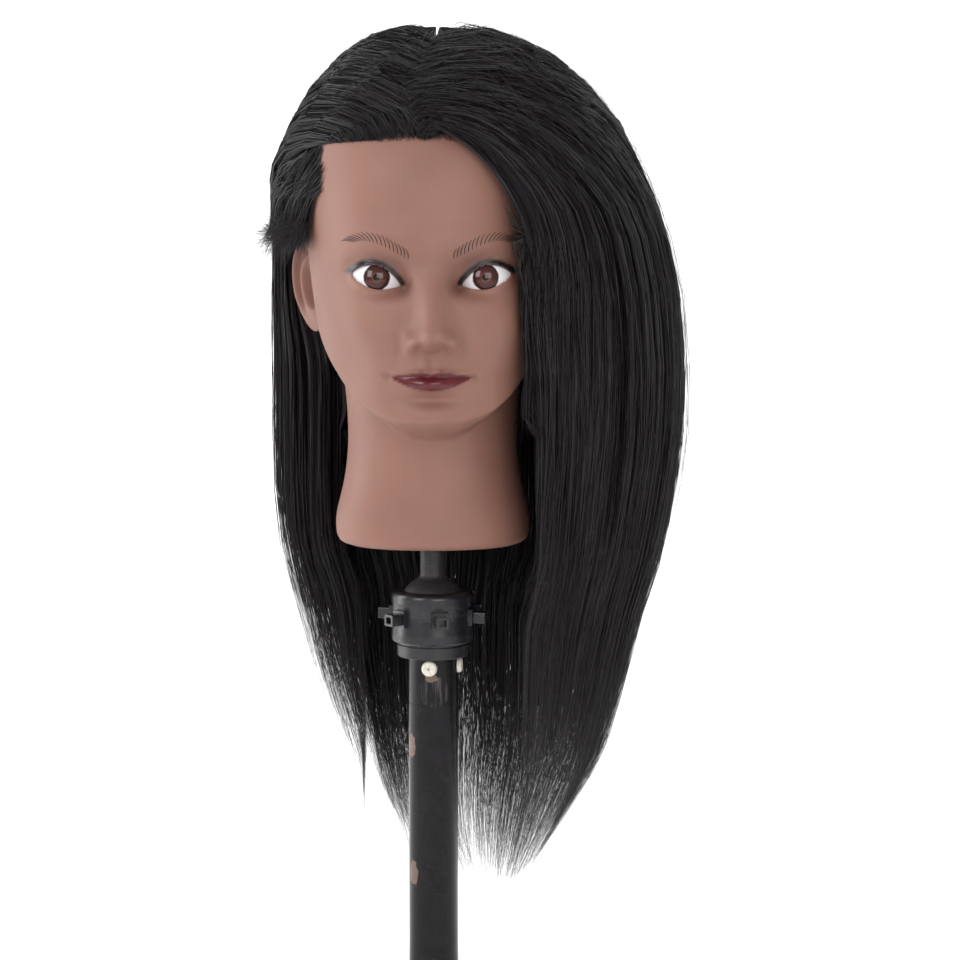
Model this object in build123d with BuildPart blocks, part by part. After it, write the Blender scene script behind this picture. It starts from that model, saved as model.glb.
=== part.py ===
from build123d import *
import os
from math import copysign, cos, pi, radians, sin, sqrt

# A hairdresser's training head: a vinyl head with implanted long hair, slid over
# the peg of a ball-joint holder. All sizes are millimetres. +Z is up, the face
# looks towards -Y, and z = 0 is the lower end of the mast tube.

os.makedirs("parts", exist_ok=True)

# ---------------------------------------------------------------- mast and socket
TUBE_RADIUS = 14.0           # 28 mm stand tube
TUBE_WALL = 1.5
TUBE_LENGTH = 198.0
GRIP_LINE_DROP = 26.4        # line rubbed round the tube by the stand's clamp, below the upper end
GRIP_LINE_WIDTH = 0.8
GRIP_LINE_DEPTH = 0.25
FIT_PRESS = 0.05             # radial gap of pieces that are pressed or glued together
FIT_RUNNING = 0.08           # radial gap of a turning or screwed fit
FIT_SLIDING = 0.10           # radial gap between the peg and the neck socket
PLUG_LENGTH = 16.0

FLANGE_STEP = 3.2            # the flange is this much smaller than the lock ring
FLANGE_HEIGHT = 7.0
SPIGOT_LENGTH = 24.0         # part of the socket inside the tube
THREAD_STEP = 1.0            # thread's outside beyond the ball's radius
THREAD_HEIGHT = 10.0

SCREW_HEAD_RADIUS = 4.35
SCREW_HEAD_HEIGHT = 2.6
SCREW_SHANK_RADIUS = 1.9
SCREW_SHANK_LENGTH = 9.0
SCREW_DROP = 5.5             # screw axis below the tube's upper end
SCREW_ANGLES = (-97.0, -7.0)  # round the mast, 0 is towards +X

# ---------------------------------------------------------------- ball and lock ring
BALL_RADIUS = 19.5
BALL_SEAT_WALL = 1.2
SEAT_BELOW_RIM = 1.0         # rim of the seat below the thread's upper end
BALL_FLARE = 4.0             # round between the ball and its neck
RING_WALL = 2.9              # lock ring's wall round the thread
RING_GAP = 1.5               # lower edge above the flange
RING_ABOVE = 11.0            # upper edge above the ball's centre
RING_WAIST = 0.7
LUG_COUNT = 6
LUG_WIDTH = 7.0
LUG_HEIGHT = 6.4
LUG_LENGTH = 8.6             # how far a lug stands out of the ring
LUG_FIRST_ANGLE = -79.0
LUG_ROOT = 1.3               # how far the boss at a lug's root stands round it
LUG_POCKET_DEPTH = 4.0
LUG_POCKET_RIM = 1.4

# ---------------------------------------------------------------- peg and neck socket
PEG_RADIUS = 7.25
PEG_JOINT_RISE = 6.5         # where the peg meets the ball's neck, above the ball's top
PEG_TOP = 136.0              # top of the peg above the ball's centre
STUD_RADIUS = 4.0
STUD_LENGTH = 17.0
SOCKET_WALL = 3.6
SOCKET_FLANGE_RADIUS = 20.0
SOCKET_TOP_GAP = 0.5

# ---------------------------------------------------------------- head
HEAD_BASE_GAP = 41.0         # neck's underside above the ball's centre
HEAD_HEIGHT = 263.0          # neck's underside to the top of the skull
SKULL_HALF_WIDTH = 72.0
FACE_DEPTH = 86.0            # front of the face from the peg's axis
SKULL_BACK = 99.0            # back of the skull from the peg's axis
WIDEST_LINE = 8.0            # y of the widest line of each section
SKIN = 3.0

EYE_RADIUS = 13.0
EYE_SPACING = 58.0
EYE_LEVEL = 0.551            # fractions of the head's height
EYE_BULGE = 2.5              # front of the eyeball ahead of the face's curve
EYE_CLEARANCE = 0.3
IRIS_RADIUS = 7.0
IRIS_THICKNESS = 0.6
CORNEA_HEIGHT = 2.4

NOSE_LEVEL = 0.413
NOSE_LENGTH = 40.0
NOSE_REACH = 18.0
NOSE_HALF_WIDTH = 15.0
EAR_LEVEL = 0.525
EAR_HALF_HEIGHT = 24.0
EAR_HALF_WIDTH = 14.0
EAR_STAND = 6.0              # how far an ear stands out of the skull's widest line
EAR_RIM = 4.0
EAR_BOWL_DEPTH = 5.0

# ---------------------------------------------------------------- hair
HAIR_LIFT = 21.0             # top of the hair above the skull
HAIR_TIP = 35.0              # lowest hair ends above the mast's lower end
HAIR_OVER_LEFT = 24.0        # hair beyond the skull on each side
HAIR_OVER_RIGHT = 72.0
HAIR_OVER_FRONT = 3.0
HAIR_OVER_BACK = 17.0
HAIR_ROOT_GAP = 0.3
CROWN_LEVEL = 0.711          # underside of the crown cap, fraction of head height
HAIRLINE_LEVEL = 0.821
FALL_GAP = 3.0               # side of the neck to the hair beside it
FALL_BACK_GAP = 29.0         # back of the neck to the hair behind it
SWING_CENTRE_Y = 35.0        # axis that the hanging lengths swing about
SWING_LEVEL = 0.456
SWING_RADIUS = 85.0
SWING_GAP = 1.0
FALL_TOP_DROP = 27.0         # flat top of the hanging lengths below the swing axis

# ---------------------------------------------------------------- derived sizes
THREAD_RADIUS = BALL_RADIUS + THREAD_STEP
RING_RADIUS = THREAD_RADIUS + RING_WALL
FLANGE_RADIUS = RING_RADIUS - FLANGE_STEP
LUG_REACH = RING_RADIUS + LUG_LENGTH
PEG_JOINT = BALL_RADIUS + PEG_JOINT_RISE
EAR_REACH = SKULL_HALF_WIDTH + EAR_STAND
HAIR_LEFT = SKULL_HALF_WIDTH + HAIR_OVER_LEFT
HAIR_RIGHT = SKULL_HALF_WIDTH + HAIR_OVER_RIGHT
HAIR_FRONT = FACE_DEPTH + HAIR_OVER_FRONT
HAIR_BACK = SKULL_BACK + HAIR_OVER_BACK
ball_z = TUBE_LENGTH + FLANGE_HEIGHT + BALL_RADIUS - 0.5
base_z = ball_z + HEAD_BASE_GAP
top_z = base_z + HEAD_HEIGHT
screw_z = TUBE_LENGTH - SCREW_DROP
eye_z = base_z + EYE_LEVEL * HEAD_HEIGHT
crown_z = base_z + CROWN_LEVEL * HEAD_HEIGHT
hairline_z = base_z + HAIRLINE_LEVEL * HEAD_HEIGHT
swing_z = base_z + SWING_LEVEL * HEAD_HEIGHT
ear_z = base_z + EAR_LEVEL * HEAD_HEIGHT

# Head sections, bottom to top: height, half width, front and back as fractions
# of HEAD_HEIGHT, SKULL_HALF_WIDTH, FACE_DEPTH and SKULL_BACK, then the roundness
# of the front half (2 is an ellipse, less is more pointed).
HEAD_ROWS = (
    (0.000, 0.66, 0.40, 0.51, 2.0),   # neck's rounded underside
    (0.011, 0.72, 0.45, 0.55, 2.0),
    (0.038, 0.75, 0.47, 0.58, 2.0),
    (0.087, 0.72, 0.48, 0.57, 2.0),
    (0.148, 0.68, 0.49, 0.56, 2.0),
    (0.202, 0.66, 0.53, 0.57, 2.0),   # throat
    (0.240, 0.68, 0.76, 0.61, 1.7),   # under the chin
    (0.278, 0.72, 0.90, 0.67, 1.7),
    (0.331, 0.78, 0.97, 0.75, 1.8),
    (0.407, 0.85, 1.00, 0.85, 2.0),   # base of the nose
    (0.494, 0.90, 1.00, 0.93, 2.1),
    (0.582, 0.93, 0.99, 0.98, 2.1),
    (0.665, 0.965, 1.00, 1.00, 2.1),  # forehead
    (0.749, 1.00, 0.99, 0.99, 2.1),
    (0.825, 0.99, 0.93, 0.95, 2.1),
    (0.894, 0.92, 0.80, 0.85, 2.0),
    (0.947, 0.75, 0.61, 0.68, 2.0),
    (0.981, 0.53, 0.40, 0.48, 2.0),
    (1.000, 0.20, 0.13, 0.19, 2.0),   # top of the skull
)

# Hair sections, tips to crown: height as a fraction of the whole length of hair,
# left, right, front and back as fractions of the HAIR sizes, then the roundness.
HAIR_ROWS = (
    (0.000, -0.16, 0.35, -0.95, 0.91, 2.5),   # pointed ends, to the right
    (0.050, 0.15, 0.45, -0.60, 0.95, 3.0),
    (0.107, 0.42, 0.56, -0.20, 0.97, 4.0),
    (0.182, 0.60, 0.71, 0.10, 0.98, 4.0),
    (0.270, 0.77, 0.79, 0.32, 0.99, 4.0),
    (0.356, 0.89, 0.86, 0.43, 1.00, 4.0),
    (0.422, 0.97, 0.93, 0.52, 1.00, 3.5),
    (0.486, 1.00, 0.97, 0.58, 1.00, 3.2),
    (0.555, 1.00, 1.00, 0.65, 1.00, 3.0),
    (0.633, 0.99, 1.00, 0.74, 1.00, 2.6),
    (0.711, 0.99, 0.97, 0.83, 1.00, 2.4),
    (0.793, 0.97, 0.90, 0.99, 0.99, 2.2),
    (0.848, 0.92, 0.81, 0.99, 0.96, 2.1),
    (0.893, 0.82, 0.73, 0.97, 0.91, 2.1),
    (0.930, 0.71, 0.62, 0.90, 0.84, 2.0),
    (0.965, 0.54, 0.48, 0.70, 0.68, 2.0),
    (0.987, 0.36, 0.31, 0.44, 0.44, 2.0),
    (1.000, 0.12, 0.13, 0.12, 0.16, 2.0),     # top of the crown
)
OUTLINE_STEPS = 10


def side_plane(height, angle, reach):
    """Upright plane facing away from the mast's axis; its own y axis points up."""
    turn = radians(angle)
    return Plane(origin=(reach * cos(turn), reach * sin(turn), height),
                 x_dir=(-sin(turn), cos(turn), 0), z_dir=(cos(turn), sin(turn), 0))


def outline(height, left, right, front, back, middle, front_power, back_power):
    """Closed smooth outline at one height, as a sketch lying in that plane."""
    centre = (left + right) / 2
    half = (right - left) / 2
    with BuildSketch(Plane.XY.offset(height)) as ring:
        with BuildLine():
            for way, depth, power in ((1, back - middle, back_power),
                                      (-1, middle - front, front_power)):
                points = []
                for step in range(OUTLINE_STEPS + 1):
                    angle = pi * step / OUTLINE_STEPS
                    across = round(cos(angle), 9)
                    x = copysign(half * abs(across) ** (2 / power), across)
                    y = way * depth * abs(round(sin(angle), 9)) ** (2 / power)
                    points.append((centre + x, middle + y))
                Spline(*points, tangents=((0, way), (0, -way)))
        make_face()
    return ring.sketch


def head_sections(inset):
    """The head's outlines, drawn in by a wall thickness on every side."""
    sections = []
    for level, width, front, back, power in HEAD_ROWS:
        height = base_z + inset + level * (HEAD_HEIGHT - 2 * inset)
        half = SKULL_HALF_WIDTH * width - inset
        sections.append(outline(height, -half, half, -(FACE_DEPTH * front - inset),
                                SKULL_BACK * back - inset, WIDEST_LINE, power, 2.0))
    return sections


def hair_sections():
    """Outlines of the whole mass of hair, from its ends to its crown."""
    length = top_z + HAIR_LIFT - HAIR_TIP
    sections = []
    for level, left, right, front, back, power in HAIR_ROWS:
        front_y, back_y = -HAIR_FRONT * front, HAIR_BACK * back
        sections.append(outline(HAIR_TIP + level * length, -HAIR_LEFT * left,
                                HAIR_RIGHT * right, front_y, back_y,
                                (front_y + back_y) / 2, power, power))
    return sections


def face_y(x, level):
    """y of the face's curve at a distance x from the middle, at a level."""
    rows = [row for row in HEAD_ROWS if row[0] <= level]
    low, high = rows[-1], HEAD_ROWS[len(rows)]
    part = (level - low[0]) / (high[0] - low[0])
    half, front, power = (low[i] + part * (high[i] - low[i]) for i in (1, 2, 4))
    depth = FACE_DEPTH * front + WIDEST_LINE
    share = abs(x) / (SKULL_HALF_WIDTH * half)
    return WIDEST_LINE - depth * (1 - share ** power) ** (1 / power)


# ================================================================ mast
with BuildPart() as mast_tube:
    with BuildSketch():
        Circle(TUBE_RADIUS)
        Circle(TUBE_RADIUS - TUBE_WALL, mode=Mode.SUBTRACT)
    extrude(amount=TUBE_LENGTH)
    with BuildSketch(Plane.XY.offset(TUBE_LENGTH - GRIP_LINE_DROP)):
        Circle(TUBE_RADIUS + 1)
        Circle(TUBE_RADIUS - GRIP_LINE_DEPTH, mode=Mode.SUBTRACT)
    extrude(amount=GRIP_LINE_WIDTH / 2, both=True, mode=Mode.SUBTRACT)
    for angle in SCREW_ANGLES:
        with BuildSketch(side_plane(screw_z, angle, 0)):
            Circle(SCREW_SHANK_RADIUS + FIT_PRESS)
        extrude(amount=TUBE_RADIUS + 1, mode=Mode.SUBTRACT)
mast_tube.part.label = "mast_tube"

with BuildPart() as mast_end_plug:
    with BuildSketch():
        Circle(TUBE_RADIUS - TUBE_WALL - FIT_PRESS)
    extrude(amount=PLUG_LENGTH)
    chamfer(mast_end_plug.edges().group_by(Axis.Z)[-1], 1.5)
    with BuildSketch(Plane.XY.offset(PLUG_LENGTH)):
        Circle(TUBE_RADIUS - TUBE_WALL - 4)
    extrude(amount=-PLUG_LENGTH + 3, mode=Mode.SUBTRACT)
mast_end_plug.part.label = "mast_end_plug"

# Socket: spigot in the tube, flange on its end, threaded rim round the ball seat.
seat_outer = BALL_RADIUS + FIT_RUNNING + BALL_SEAT_WALL
flange_top = TUBE_LENGTH + FLANGE_HEIGHT
with BuildPart() as socket_body:
    with BuildSketch(Plane.XY.offset(TUBE_LENGTH - SPIGOT_LENGTH)):
        Circle(TUBE_RADIUS - TUBE_WALL - FIT_PRESS)
    extrude(amount=SPIGOT_LENGTH)
    with BuildSketch(Plane.XY.offset(TUBE_LENGTH)):
        Circle(FLANGE_RADIUS)
    extrude(amount=FLANGE_HEIGHT)
    flange_edges = socket_body.edges().filter_by(
        lambda e: e.geom_type == GeomType.CIRCLE and abs(e.radius - FLANGE_RADIUS) < 0.01)
    fillet(flange_edges, 0.8)
    with BuildSketch(Plane.XY.offset(flange_top - 0.5)):
        Circle(THREAD_RADIUS - 0.9)
    extrude(amount=THREAD_HEIGHT)
    for turn in range(3):
        with BuildSketch(Plane.XY.offset(flange_top + 2.2 + 2.4 * turn)):
            Circle(THREAD_RADIUS)
        extrude(amount=1.2)
    with Locations((0, 0, ball_z)):
        Sphere(seat_outer + FIT_PRESS, mode=Mode.SUBTRACT)
    with BuildSketch(Plane.XY.offset(TUBE_LENGTH - SPIGOT_LENGTH)):
        Circle(TUBE_RADIUS - TUBE_WALL - 4)
    extrude(amount=SPIGOT_LENGTH - 12, mode=Mode.SUBTRACT)
    for angle in SCREW_ANGLES:
        with BuildSketch(side_plane(screw_z, angle, 0)):
            Circle(SCREW_SHANK_RADIUS + FIT_PRESS)
        extrude(amount=TUBE_RADIUS, mode=Mode.SUBTRACT)
socket_body.part.label = "socket_body"

# Two identical round-head screws hold the tube on the socket.
with BuildPart() as socket_screws:
    for angle in SCREW_ANGLES:
        with BuildSketch(side_plane(screw_z, angle, TUBE_RADIUS - SCREW_SHANK_LENGTH)):
            Circle(SCREW_SHANK_RADIUS)
        extrude(amount=SCREW_SHANK_LENGTH + 0.5)
        with BuildSketch(side_plane(screw_z, angle, TUBE_RADIUS)):
            Circle(SCREW_HEAD_RADIUS)
        extrude(amount=SCREW_HEAD_HEIGHT)
        with BuildSketch(side_plane(screw_z, angle, TUBE_RADIUS + SCREW_HEAD_HEIGHT)):
            Circle(0.9)
        extrude(amount=-1.2, mode=Mode.SUBTRACT)
    rims = socket_screws.edges().filter_by(
        lambda e: e.geom_type == GeomType.CIRCLE and abs(e.radius - SCREW_HEAD_RADIUS) < 0.01)
    outer_rims = rims.filter_by(
        lambda e: sqrt(e.arc_center.X ** 2 + e.arc_center.Y ** 2) > TUBE_RADIUS + 1)
    fillet(outer_rims, 1.6)
socket_screws.part.label = "socket_screws"

# ================================================================ ball joint
with BuildPart() as ball_seat:
    with Locations((0, 0, ball_z)):
        Sphere(seat_outer)
        Sphere(BALL_RADIUS + FIT_RUNNING, mode=Mode.SUBTRACT)
    with Locations((0, 0, flange_top + THREAD_HEIGHT - SEAT_BELOW_RIM)):
        Box(60, 60, 60, align=(Align.CENTER, Align.CENTER, Align.MIN), mode=Mode.SUBTRACT)
ball_seat.part.label = "ball_seat"

with BuildPart() as ball:
    with Locations((0, 0, ball_z)):
        Sphere(BALL_RADIUS)
    with BuildSketch(Plane.XY.offset(ball_z)):
        Circle(PEG_RADIUS)
    extrude(amount=PEG_JOINT)
    neck_z = ball_z + sqrt(BALL_RADIUS ** 2 - PEG_RADIUS ** 2)
    flare_edge = ball.edges().filter_by(
        lambda e: e.geom_type == GeomType.CIRCLE and abs(e.radius - PEG_RADIUS) < 0.01
        and abs(e.arc_center.Z - neck_z) < 0.1)
    fillet(flare_edge, BALL_FLARE)
    with BuildSketch(Plane.XY.offset(ball_z + PEG_JOINT)):
        Circle(STUD_RADIUS + FIT_PRESS)
    extrude(amount=-STUD_LENGTH - 1, mode=Mode.SUBTRACT)
ball.part.label = "ball"

with BuildPart() as peg:
    with BuildSketch(Plane.XY.offset(ball_z + PEG_JOINT)):
        Circle(PEG_RADIUS)
    extrude(amount=PEG_TOP - PEG_JOINT)
    chamfer(peg.edges().group_by(Axis.Z)[-1], 2.0)
    with BuildSketch(Plane.XY.offset(ball_z + PEG_JOINT)):
        Circle(STUD_RADIUS)
    extrude(amount=-STUD_LENGTH)
peg.part.label = "peg"

# Lock ring: threaded below, closed in over the ball above, six lugs to turn it by.
ring_low, ring_high = flange_top + RING_GAP, ball_z + RING_ABOVE
grip = BALL_RADIUS + 0.3
ring_bore = THREAD_RADIUS + FIT_RUNNING
with BuildPart() as lock_ring:
    with BuildSketch(Plane.XZ):
        with BuildLine():
            middle_z = (ring_low + ring_high) / 2
            Polyline((0, ring_low), (RING_RADIUS - 0.8, ring_low), (RING_RADIUS, ring_low + 0.8),
                     (RING_RADIUS, ring_low + 5))
            Line((RING_RADIUS, ring_low + 5), (RING_RADIUS - RING_WAIST, middle_z - 1))
            Line((RING_RADIUS - RING_WAIST, middle_z - 1), (RING_RADIUS - RING_WAIST, middle_z + 1))
            Line((RING_RADIUS - RING_WAIST, middle_z + 1), (RING_RADIUS, ring_high - 6))
            Line((RING_RADIUS, ring_high - 6), (RING_RADIUS, ring_high - 3))
            ThreePointArc((RING_RADIUS, ring_high - 3), (RING_RADIUS - 0.9, ring_high - 0.9),
                          (RING_RADIUS - 3, ring_high))
            Polyline((RING_RADIUS - 3, ring_high), (0, ring_high), (0, ring_low))
        make_face()
    revolve(axis=Axis.Z)
    for turn in range(LUG_COUNT):
        angle = LUG_FIRST_ANGLE + turn * 360 / LUG_COUNT
        lug_root = RING_RADIUS - 2.5
        with BuildSketch(side_plane(middle_z, angle, lug_root)):
            Rectangle(LUG_WIDTH + 2 * LUG_ROOT, LUG_HEIGHT + 2 * LUG_ROOT)
        extrude(amount=4.0)
        with BuildSketch(side_plane(middle_z, angle, lug_root)):
            RectangleRounded(LUG_WIDTH, LUG_HEIGHT, 0.8)
        extrude(amount=LUG_REACH - lug_root)
        with BuildSketch(side_plane(middle_z, angle, LUG_REACH)):
            RectangleRounded(LUG_WIDTH - 2 * LUG_POCKET_RIM, LUG_HEIGHT - 2 * LUG_POCKET_RIM, 0.4)
        extrude(amount=-LUG_POCKET_DEPTH, mode=Mode.SUBTRACT)
    with BuildSketch(Plane.XY.offset(ring_low)):
        Circle(ring_bore)
    extrude(amount=THREAD_HEIGHT + 0.6 + flange_top - ring_low, mode=Mode.SUBTRACT)
    with Locations((0, 0, ball_z)):
        Sphere(grip, mode=Mode.SUBTRACT)
lock_ring.part.label = "lock_ring"

# ================================================================ head
socket_radius = PEG_RADIUS + FIT_SLIDING
socket_top = ball_z + PEG_TOP + SOCKET_TOP_GAP
with BuildPart() as neck_socket:
    with BuildSketch(Plane.XY.offset(base_z)):
        Circle(SOCKET_FLANGE_RADIUS)
    extrude(amount=SKIN)
    with BuildSketch(Plane.XY.offset(base_z)):
        Circle(socket_radius + SOCKET_WALL)
    extrude(amount=socket_top + SOCKET_WALL - base_z)
    with BuildSketch(Plane.XY.offset(base_z)):
        Circle(socket_radius)
    extrude(amount=socket_top - base_z, mode=Mode.SUBTRACT)
neck_socket.part.label = "neck_socket"

eye_y = face_y(EYE_SPACING / 2, EYE_LEVEL) - EYE_BULGE + EYE_RADIUS
nose_z = base_z + NOSE_LEVEL * HEAD_HEIGHT

with BuildPart() as head_skin:
    loft(sections=head_sections(0))
    # nose: wide at its base, narrow between the eyes
    nose = []
    for rise, half, reach in ((0.0, 0.80, 0.55), (0.10, 1.00, 1.00), (0.30, 0.72, 0.86),
                              (0.60, 0.52, 0.50), (1.00, 0.50, 0.12)):
        root = face_y(0, NOSE_LEVEL + rise * NOSE_LENGTH / HEAD_HEIGHT)
        nose.append(outline(nose_z + rise * NOSE_LENGTH, -NOSE_HALF_WIDTH * half,
                            NOSE_HALF_WIDTH * half, root - NOSE_REACH * reach,
                            root + 8, root + 4, 1.8, 2.0))
    loft(sections=nose)
    # ears
    for side in (-1, 1):
        with BuildSketch(Plane.YZ.offset(side * (EAR_REACH - 15))):
            with Locations((WIDEST_LINE, ear_z)):
                Ellipse(EAR_HALF_WIDTH, EAR_HALF_HEIGHT)
        extrude(amount=side * 15)
        with BuildSketch(Plane.YZ.offset(side * EAR_REACH)):
            with Locations((WIDEST_LINE, ear_z)):
                Ellipse(EAR_HALF_WIDTH - EAR_RIM, EAR_HALF_HEIGHT - EAR_RIM)
        extrude(amount=-side * EAR_BOWL_DEPTH, mode=Mode.SUBTRACT)
    loft(sections=head_sections(SKIN), mode=Mode.SUBTRACT)
    for side in (-1, 1):
        with Locations(Location((side * EYE_SPACING / 2, eye_y, eye_z), (90, 0, 0))):
            Sphere(EYE_RADIUS + EYE_CLEARANCE, mode=Mode.SUBTRACT)
    with BuildSketch(Plane.XY.offset(base_z - 1)):
        Circle(SOCKET_FLANGE_RADIUS + FIT_PRESS)
    extrude(amount=SKIN + 2, mode=Mode.SUBTRACT)
head_skin.part.label = "head_skin"

with BuildPart() as foam_core:
    loft(sections=head_sections(SKIN + FIT_PRESS))
    with BuildSketch(Plane.XY.offset(base_z)):
        Circle(socket_radius + SOCKET_WALL + FIT_PRESS)
    extrude(amount=socket_top + SOCKET_WALL + FIT_PRESS - base_z, mode=Mode.SUBTRACT)
    for side in (-1, 1):
        with Locations(Location((side * EYE_SPACING / 2, eye_y, eye_z), (90, 0, 0))):
            Sphere(EYE_RADIUS + EYE_CLEARANCE, mode=Mode.SUBTRACT)
foam_core.part.label = "foam_core"

# Eyes: a ball with a flat seat, a coloured disc on it and a clear dome over that.
seat_depth = sqrt(EYE_RADIUS ** 2 - (IRIS_RADIUS + 0.3) ** 2) - IRIS_THICKNESS
dome_base = seat_depth + IRIS_THICKNESS + 2 * FIT_PRESS
dome_radius = (IRIS_RADIUS ** 2 + CORNEA_HEIGHT ** 2) / (2 * CORNEA_HEIGHT)
eye_parts = []
for side, name in ((-1, "left"), (1, "right")):
    eye_x = side * EYE_SPACING / 2
    with BuildPart() as eye_white:
        with Locations(Location((eye_x, eye_y, eye_z), (90, 0, 0))):
            Sphere(EYE_RADIUS)
        with BuildSketch(Plane.XZ.offset(-eye_y + seat_depth)):
            with Locations((eye_x, eye_z)):
                Circle(IRIS_RADIUS + 0.3)
        extrude(amount=10, mode=Mode.SUBTRACT)
    eye_white.part.label = name + "_eye_white"
    with BuildPart() as iris:
        with BuildSketch(Plane.XZ.offset(-eye_y + seat_depth + FIT_PRESS)):
            with Locations((eye_x, eye_z)):
                Circle(IRIS_RADIUS)
        extrude(amount=IRIS_THICKNESS)
    iris.part.label = name + "_iris"
    with BuildPart() as cornea:
        dome_y = eye_y - dome_base - CORNEA_HEIGHT + dome_radius
        with Locations(Location((eye_x, dome_y, eye_z), (90, 0, 0))):
            Sphere(dome_radius)
        with BuildSketch(Plane.XZ.offset(-eye_y + dome_base)):
            with Locations((eye_x, eye_z)):
                Circle(dome_radius + 5)
        extrude(amount=-3 * dome_radius, mode=Mode.SUBTRACT)
    cornea.part.label = name + "_cornea"
    eye_parts += [eye_white.part, iris.part, cornea.part]

# ================================================================ hair
neck_half = SKULL_HALF_WIDTH * 0.75
neck_back = SKULL_BACK * 0.58
fall_half = neck_half + FALL_GAP
fall_back = neck_back + FALL_BACK_GAP
FAR = 400.0

# The whole mass of hair, hollowed for the head, the neck, the mast and the face.
with BuildPart() as hair_mass:
    loft(sections=hair_sections())
    loft(sections=head_sections(-HAIR_ROOT_GAP), mode=Mode.SUBTRACT)
    # open in front and below, from side to side of the neck
    throat_z = base_z + 0.331 * HEAD_HEIGHT
    with Locations((0, fall_back, throat_z)):
        Box(2 * fall_half, FAR, FAR, align=(Align.CENTER, Align.MAX, Align.MAX),
            mode=Mode.SUBTRACT)
    # face: cheeks and eyes, wide open to the left as far as the ear
    with Locations((fall_half, WIDEST_LINE, crown_z)):
        Box(FAR, FAR, crown_z - throat_z + 20, align=(Align.MAX, Align.MAX, Align.MAX),
            mode=Mode.SUBTRACT)
    # left side below the ear: hair hangs behind it
    with Locations((-fall_half + 1, WIDEST_LINE, throat_z)):
        Box(FAR, FAR, FAR, align=(Align.MAX, Align.MAX, Align.MAX), mode=Mode.SUBTRACT)
    # forehead up to the hairline
    with Locations((-8, -FACE_DEPTH * 0.55, hairline_z)):
        Box(2 * SKULL_HALF_WIDTH * 0.80, FAR, hairline_z - crown_z + 10,
            align=(Align.CENTER, Align.MAX, Align.MAX), mode=Mode.SUBTRACT)
    # room for the ears
    with Locations((0, WIDEST_LINE, ear_z)):
        Box(2 * EAR_REACH + 2, 2 * EAR_HALF_WIDTH + 2, 2 * EAR_HALF_HEIGHT + 2,
            mode=Mode.SUBTRACT)

swing_axis = Location((0, SWING_CENTRE_Y, swing_z), (0, 90, 0))

with BuildPart() as hair_crown:
    add(hair_mass.part)
    with Locations((0, 0, crown_z)):
        Box(FAR, FAR, FAR, align=(Align.CENTER, Align.CENTER, Align.MIN), mode=Mode.INTERSECT)
hair_crown.part.label = "hair_crown"

# Upper lengths, fixed to the head: inside the swing cylinder or above its axis.
with BuildPart() as upper_room:
    with Locations(swing_axis):
        Cylinder(SWING_RADIUS, FAR)
    with Locations((0, 0, swing_z)):
        Box(FAR, FAR, crown_z - swing_z, align=(Align.CENTER, Align.CENTER, Align.MIN))
    with Locations((0, 0, crown_z)):
        Box(FAR, FAR, FAR, align=(Align.CENTER, Align.CENTER, Align.MIN), mode=Mode.SUBTRACT)

# Hanging lengths: outside the swing cylinder and below its axis.
with BuildPart() as lower_room:
    with Locations((0, 0, swing_z - FALL_TOP_DROP)):
        Box(FAR, FAR, 2 * FAR, align=(Align.CENTER, Align.CENTER, Align.MAX))
    with Locations(swing_axis):
        Cylinder(SWING_RADIUS + SWING_GAP, FAR, mode=Mode.SUBTRACT)


def lock_of_hair(room, x_low, x_high):
    """The hair between two upright planes, inside one of the two rooms."""
    with BuildPart() as lock:
        add(hair_mass.part)
        add(room.part, mode=Mode.INTERSECT)
        with Locations(((x_low + x_high) / 2, 0, 0)):
            Box(x_high - x_low, FAR, 4 * FAR, mode=Mode.INTERSECT)
    return lock.part


hair_parts = []
for name, room, x_low, x_high in (
    ("hair_side_left", upper_room, -FAR, -fall_half),
    ("hair_nape", upper_room, -fall_half, fall_half),
    ("hair_side_right", upper_room, fall_half, FAR),
    ("hair_fall_left", lower_room, -FAR, -fall_half),
    ("hair_fall_back", lower_room, -fall_half, fall_half),
    ("hair_fall_right", lower_room, fall_half, FAR),
):
    lock = lock_of_hair(room, x_low, x_high)
    lock.label = name
    hair_parts.append(lock)

# ================================================================ export
pieces = [
    mast_tube.part, mast_end_plug.part, socket_body.part, socket_screws.part,
    ball_seat.part, ball.part, peg.part, lock_ring.part, neck_socket.part,
    head_skin.part, foam_core.part, hair_crown.part, *eye_parts, *hair_parts,
]
for piece in pieces:
    export_step(piece, "parts/" + piece.label + ".step")
    box = piece.bounding_box()
    print(f"{piece.label:18s} solids {len(piece.solids())}  volume {piece.volume / 1000:8.1f} cm3"
          f"  x {box.min.X:6.1f} {box.max.X:6.1f}  y {box.min.Y:6.1f} {box.max.Y:6.1f}"
          f"  z {box.min.Z:6.1f} {box.max.Z:6.1f}")
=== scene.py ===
# %% [markdown]
# # A hairdresser's training head
# The object is a vinyl head with long implanted hair, slid over the peg of a tilting holder.
# The holder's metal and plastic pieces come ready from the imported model. This lesson adds what
# that model only roughs out: the moulded face, the eyes, the painted make-up and the hair.

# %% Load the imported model
from math import atan2, cos, degrees, pi, radians, sin, sqrt
import bmesh
import bpy
import numpy as np
from mathutils import Matrix, Vector
from mathutils.bvhtree import BVHTree


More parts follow.
